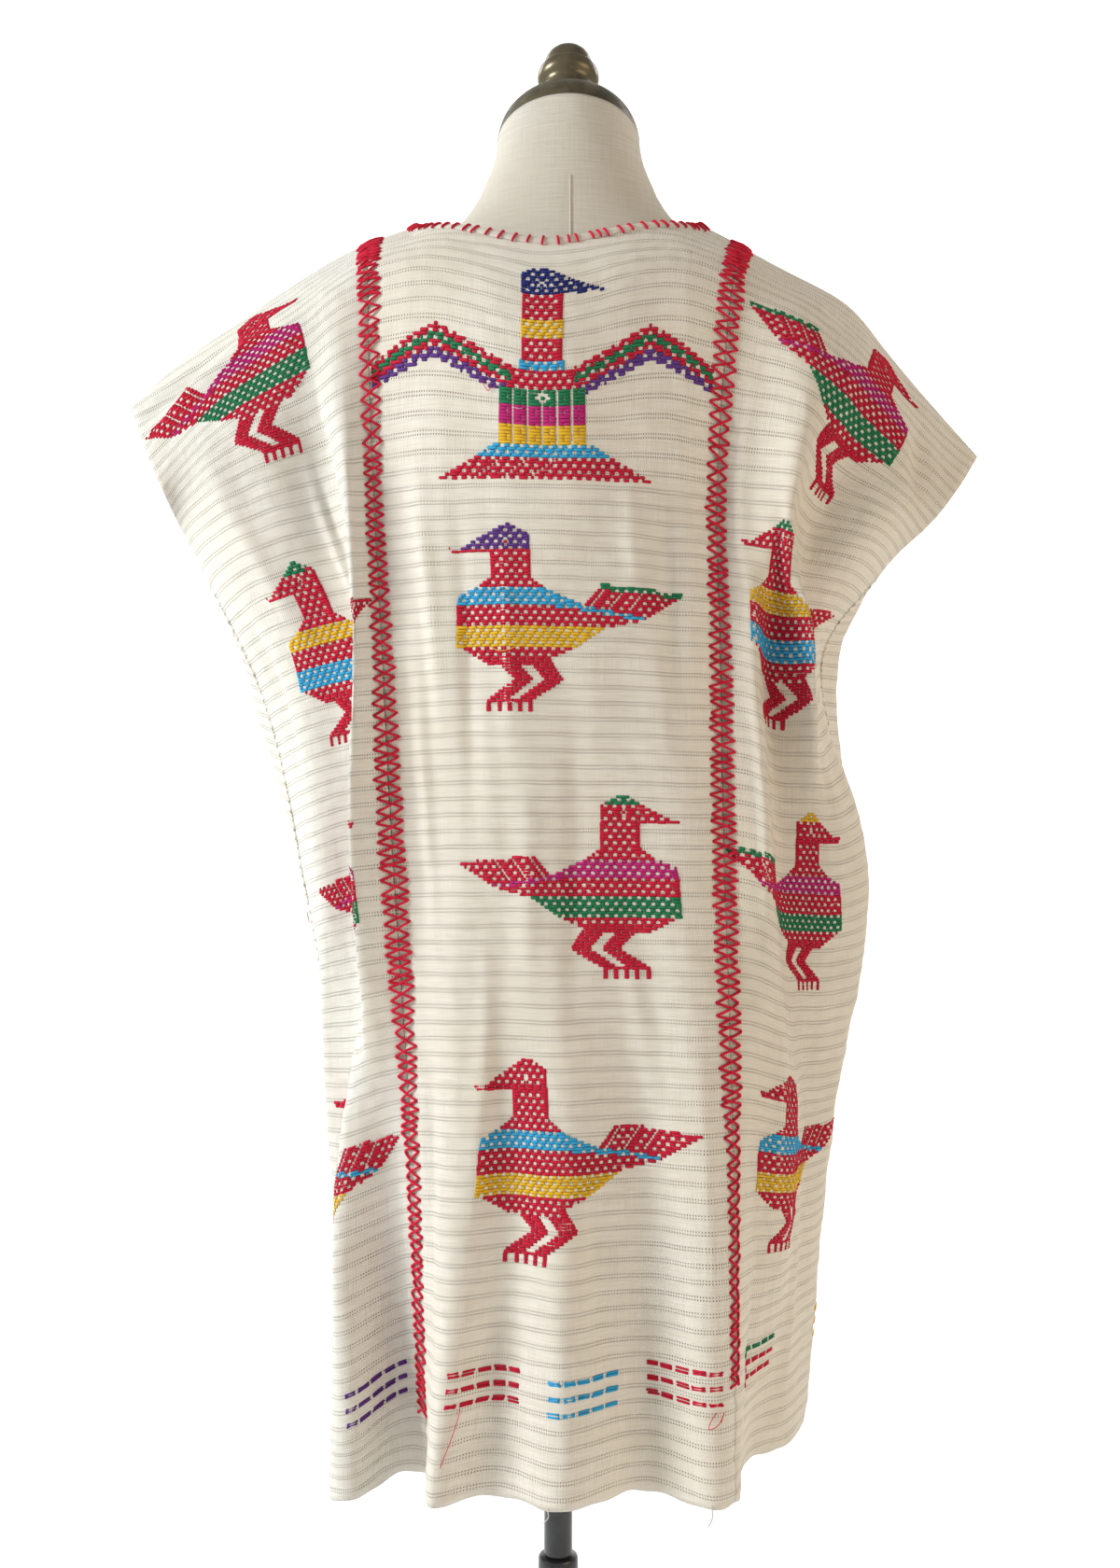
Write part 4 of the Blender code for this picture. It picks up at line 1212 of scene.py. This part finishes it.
def form_skin():
    """The padded form as a smooth loft of its rings, its seams at back and front pressed in."""
    body, neck = np.linspace(FORM[0][0], 1.30, 90), np.linspace(1.303, FORM[-1][0], 60)
    heights = np.concatenate([body, neck])
    rings = smooth_curve(form_rings[:, 0], form_rings[:, 1:], heights)
    turn = np.linspace(0, 2 * np.pi, 161)
    place = []
    for z, (wide, behind, before, slope) in zip(heights, rings):
        deep = np.where(np.sin(turn) > 0, before, behind)
        seam = sum(np.exp(-((turn - at * np.pi) / 0.018) ** 2) for at in (1.5, 0.5))
        shrink = 1 - 0.012 * seam * (z < PRESSED)
        shrink = shrink - 0.010 * np.exp(-((z - PRESSED) / 0.0016) ** 2)
        x, y = wide * np.cos(turn) * shrink, deep * np.sin(turn) * shrink
        place.append(np.stack([x, y, z - slope * y], axis=1))
    place = np.array(place)
    caps = [np.broadcast_to(ring.mean(0), ring.shape) for ring in (place[0], place[-1])]
    place = np.concatenate([caps[0][None], place, caps[1][None]])
    mesh = to_mesh(laid_grid(place), "form_skin")
    return piece(mesh, "form_skin", [form_linen], ["form_body"])


form_rings = np.array(FORM)
form_skin()
form_seams = []
for side in (-1, 1):
    z = np.linspace(1.302, PRESSED - 0.001, 24)
    ring = smooth_curve(form_rings[:, 0], form_rings[:, 1:], z)
    y = side * ring[:, 1 if side < 0 else 2]
    x = np.full(len(z), 0.0011)
    form_seams.append(np.stack([x, y * 0.9985, z - ring[:, 3] * y], axis=1))
piece(tubes(form_seams, 0.00075, "form_seam_welt"), "form_seam_welt", [form_linen])

rim = Vector((0, 0, 1.4235))
dome = [(CAP * np.cos(a), CAP_RISE * np.sin(a)) for a in np.linspace(0.997, 0.0, 22)]
cap_profile = [(0.0, dome[0][1]), (0.012, dome[0][1]), *dome, (CAP + 0.0004, -0.0002),
               (CAP - 0.0002, -0.0008), (CAP - 0.0009, -0.0009), (0.0, -0.0009)]
piece(lathe(cap_profile, "neck_cap_turned", rim, LEAN), "neck_cap_turned", [bronze_cap],
      ["neck_cap"])
top = Matrix.Rotation(-np.arctan(LEAN), 3, "X") @ Vector((0, 0, dome[0][1] + 0.0003))
knob = [(0.0, 0.0578), (0.0045, 0.0574), (0.0082, 0.0565), (0.0115, 0.0550), (0.0143, 0.0529),
        (0.0165, 0.0503), (0.0180, 0.0475), (0.0189, 0.0448), (0.0192, 0.0425), (0.0190, 0.0405),
        (0.0188, 0.0394), (0.0196, 0.0384), (0.0212, 0.0370), (0.0228, 0.0354), (0.0239, 0.0338),
        (0.0244, 0.0318), (0.0245, 0.0295), (0.0243, 0.0275), (0.0236, 0.0255), (0.0224, 0.0238),
        (0.0208, 0.0224), (0.0197, 0.0208), (0.0191, 0.0185), (0.0191, 0.0155), (0.0195, 0.0122),
        (0.0203, 0.0090), (0.0215, 0.0060), (0.0227, 0.0036), (0.0234, 0.0018), (0.0232, 0.0),
        (0.0, 0.0)]
piece(lathe(knob, "neck_knob_turned", rim + top, LEAN), "neck_knob_turned", [bronze_knob],
      ["neck_finial"])

stand = Vector((STAND_X, 0, 0))
# node, piece, height of its foot, material, slot, and its outline as radius and height
turned_stand = (
    ("pole", "pole_turned", 0.3233, black_pole, "black_pole",
     [(0.0, 0.3764), (POLE - 0.001, 0.3764), (POLE, 0.3754), (POLE, 0.001),
      (POLE - 0.001, 0.0), (0.0, 0.0)]),
    ("pole_collar", "pole_collar_turned", 0.290, black_pole, "black_collar",
     [(0.0, 0.033), (COLLAR - 0.0025, 0.033), (COLLAR - 0.0008, 0.0322), (COLLAR, 0.0305),
      (COLLAR, 0.0025), (COLLAR - 0.0008, 0.0008), (COLLAR - 0.0025, 0.0), (0.0, 0.0)]),
    ("pole_tube", "pole_tube_turned", 0.0273, black_pole, "black_tube",
     [(0.0, 0.2624), (TUBE - 0.001, 0.2624), (TUBE, 0.2614), (TUBE, 0.001),
      (TUBE - 0.001, 0.0), (0.0, 0.0)]),
    ("stand_base", "stand_base_turned", 0.0, black_base, "black_base",
     [(0.0, 0.027), (0.020, 0.027), (0.0245, 0.0262), (0.028, 0.0238), (0.034, 0.0215),
      (0.060, 0.019), (0.100, 0.0172), (0.140, 0.015), (0.155, 0.0128), (0.1625, 0.0100),
      (0.165, 0.0065), (0.165, 0.002), (0.163, 0.0), (0.0, 0.0)]),
)
for node, name, foot, material, slot, profile in turned_stand:
    mesh = lathe(profile, name, stand + Vector((0, 0, foot)))
    piece(mesh, name, [material], [node])
    mesh.set_sharp_from_angle(angle=0.6)


# ---------------------------------------------------------------- studio

def studio():
    """A pale floor that sweeps up into a backdrop, soft light, and the camera."""
    pale, g, shader = finish("studio_paper", 0.9)
    place = g.node("ShaderNodeTexCoord").outputs["Object"]
    grain = g.noise(place, 60, detail=3)
    g.put(shader["Base Color"], g.mix(grain, (0.93, 0.93, 0.93, 1), (0.96, 0.96, 0.96, 1)))
    bend = np.linspace(0, np.pi / 2, 17)
    curve = [(3.2 + 1.2 * np.sin(a), 1.2 - 1.2 * np.cos(a)) for a in bend]
    line = [(-7.0, 0.0), *curve, (4.4, 7.0)]
    place = np.array([[(x, y, z - 0.0004) for x in (-9.0, 9.0)] for y, z in line])
    sweep = bpy.data.objects.new("studio_sweep", to_mesh(laid_grid(place), "studio_sweep"))
    sweep.data.materials.append(pale)
    sweep.data.shade_smooth()
    bpy.context.scene.collection.objects.link(sweep)

    world = bpy.data.worlds.new("studio")
    bpy.context.scene.world = world
    world.use_nodes = True
    sky = world.node_tree.nodes["Background"].inputs
    sky["Color"].default_value = (0.97, 0.985, 1.0, 1)
    sky["Strength"].default_value = 0.34
    # name, place, size, watts and colour of each lamp
    for name, spot, size, watts, colour in (
            ("window", (-2.7, -0.9, 2.0), 1.1, 94, (0.93, 0.97, 1.0)),
            ("room", (2.2, -1.6, 1.5), 1.6, 24, (1.0, 0.80, 0.58)),
            ("backdrop_left", (-2.4, 2.0, 3.0), 1.8, 95, (1, 1, 1)),
            ("backdrop_right", (2.4, 2.0, 3.0), 1.8, 95, (1, 1, 1))):
        lamp = bpy.data.lights.new(name, "AREA")
        lamp.size = size
        lamp.energy = watts
        lamp.color = colour
        held = bpy.data.objects.new(name, lamp)
        bpy.context.scene.collection.objects.link(held)
        held.location = spot
        aim = Vector((0, 4.6, 1.1)) if name.startswith("backdrop") else Vector((0, 0, 0.95))
        held.rotation_euler = (aim - Vector(spot)).to_track_quat("-Z", "Y").to_euler()

    camera = bpy.data.cameras.new("camera")
    camera.lens = 38.19
    camera.sensor_width = 36.0
    eye = bpy.data.objects.new("camera", camera)
    bpy.context.scene.collection.objects.link(eye)
    eye.location = (-0.0066, -1.30, 0.9245)
    eye.rotation_euler = (np.pi / 2, 0, 0)
    bpy.context.scene.camera = eye
    bpy.context.scene.view_settings.view_transform = "Standard"


studio()
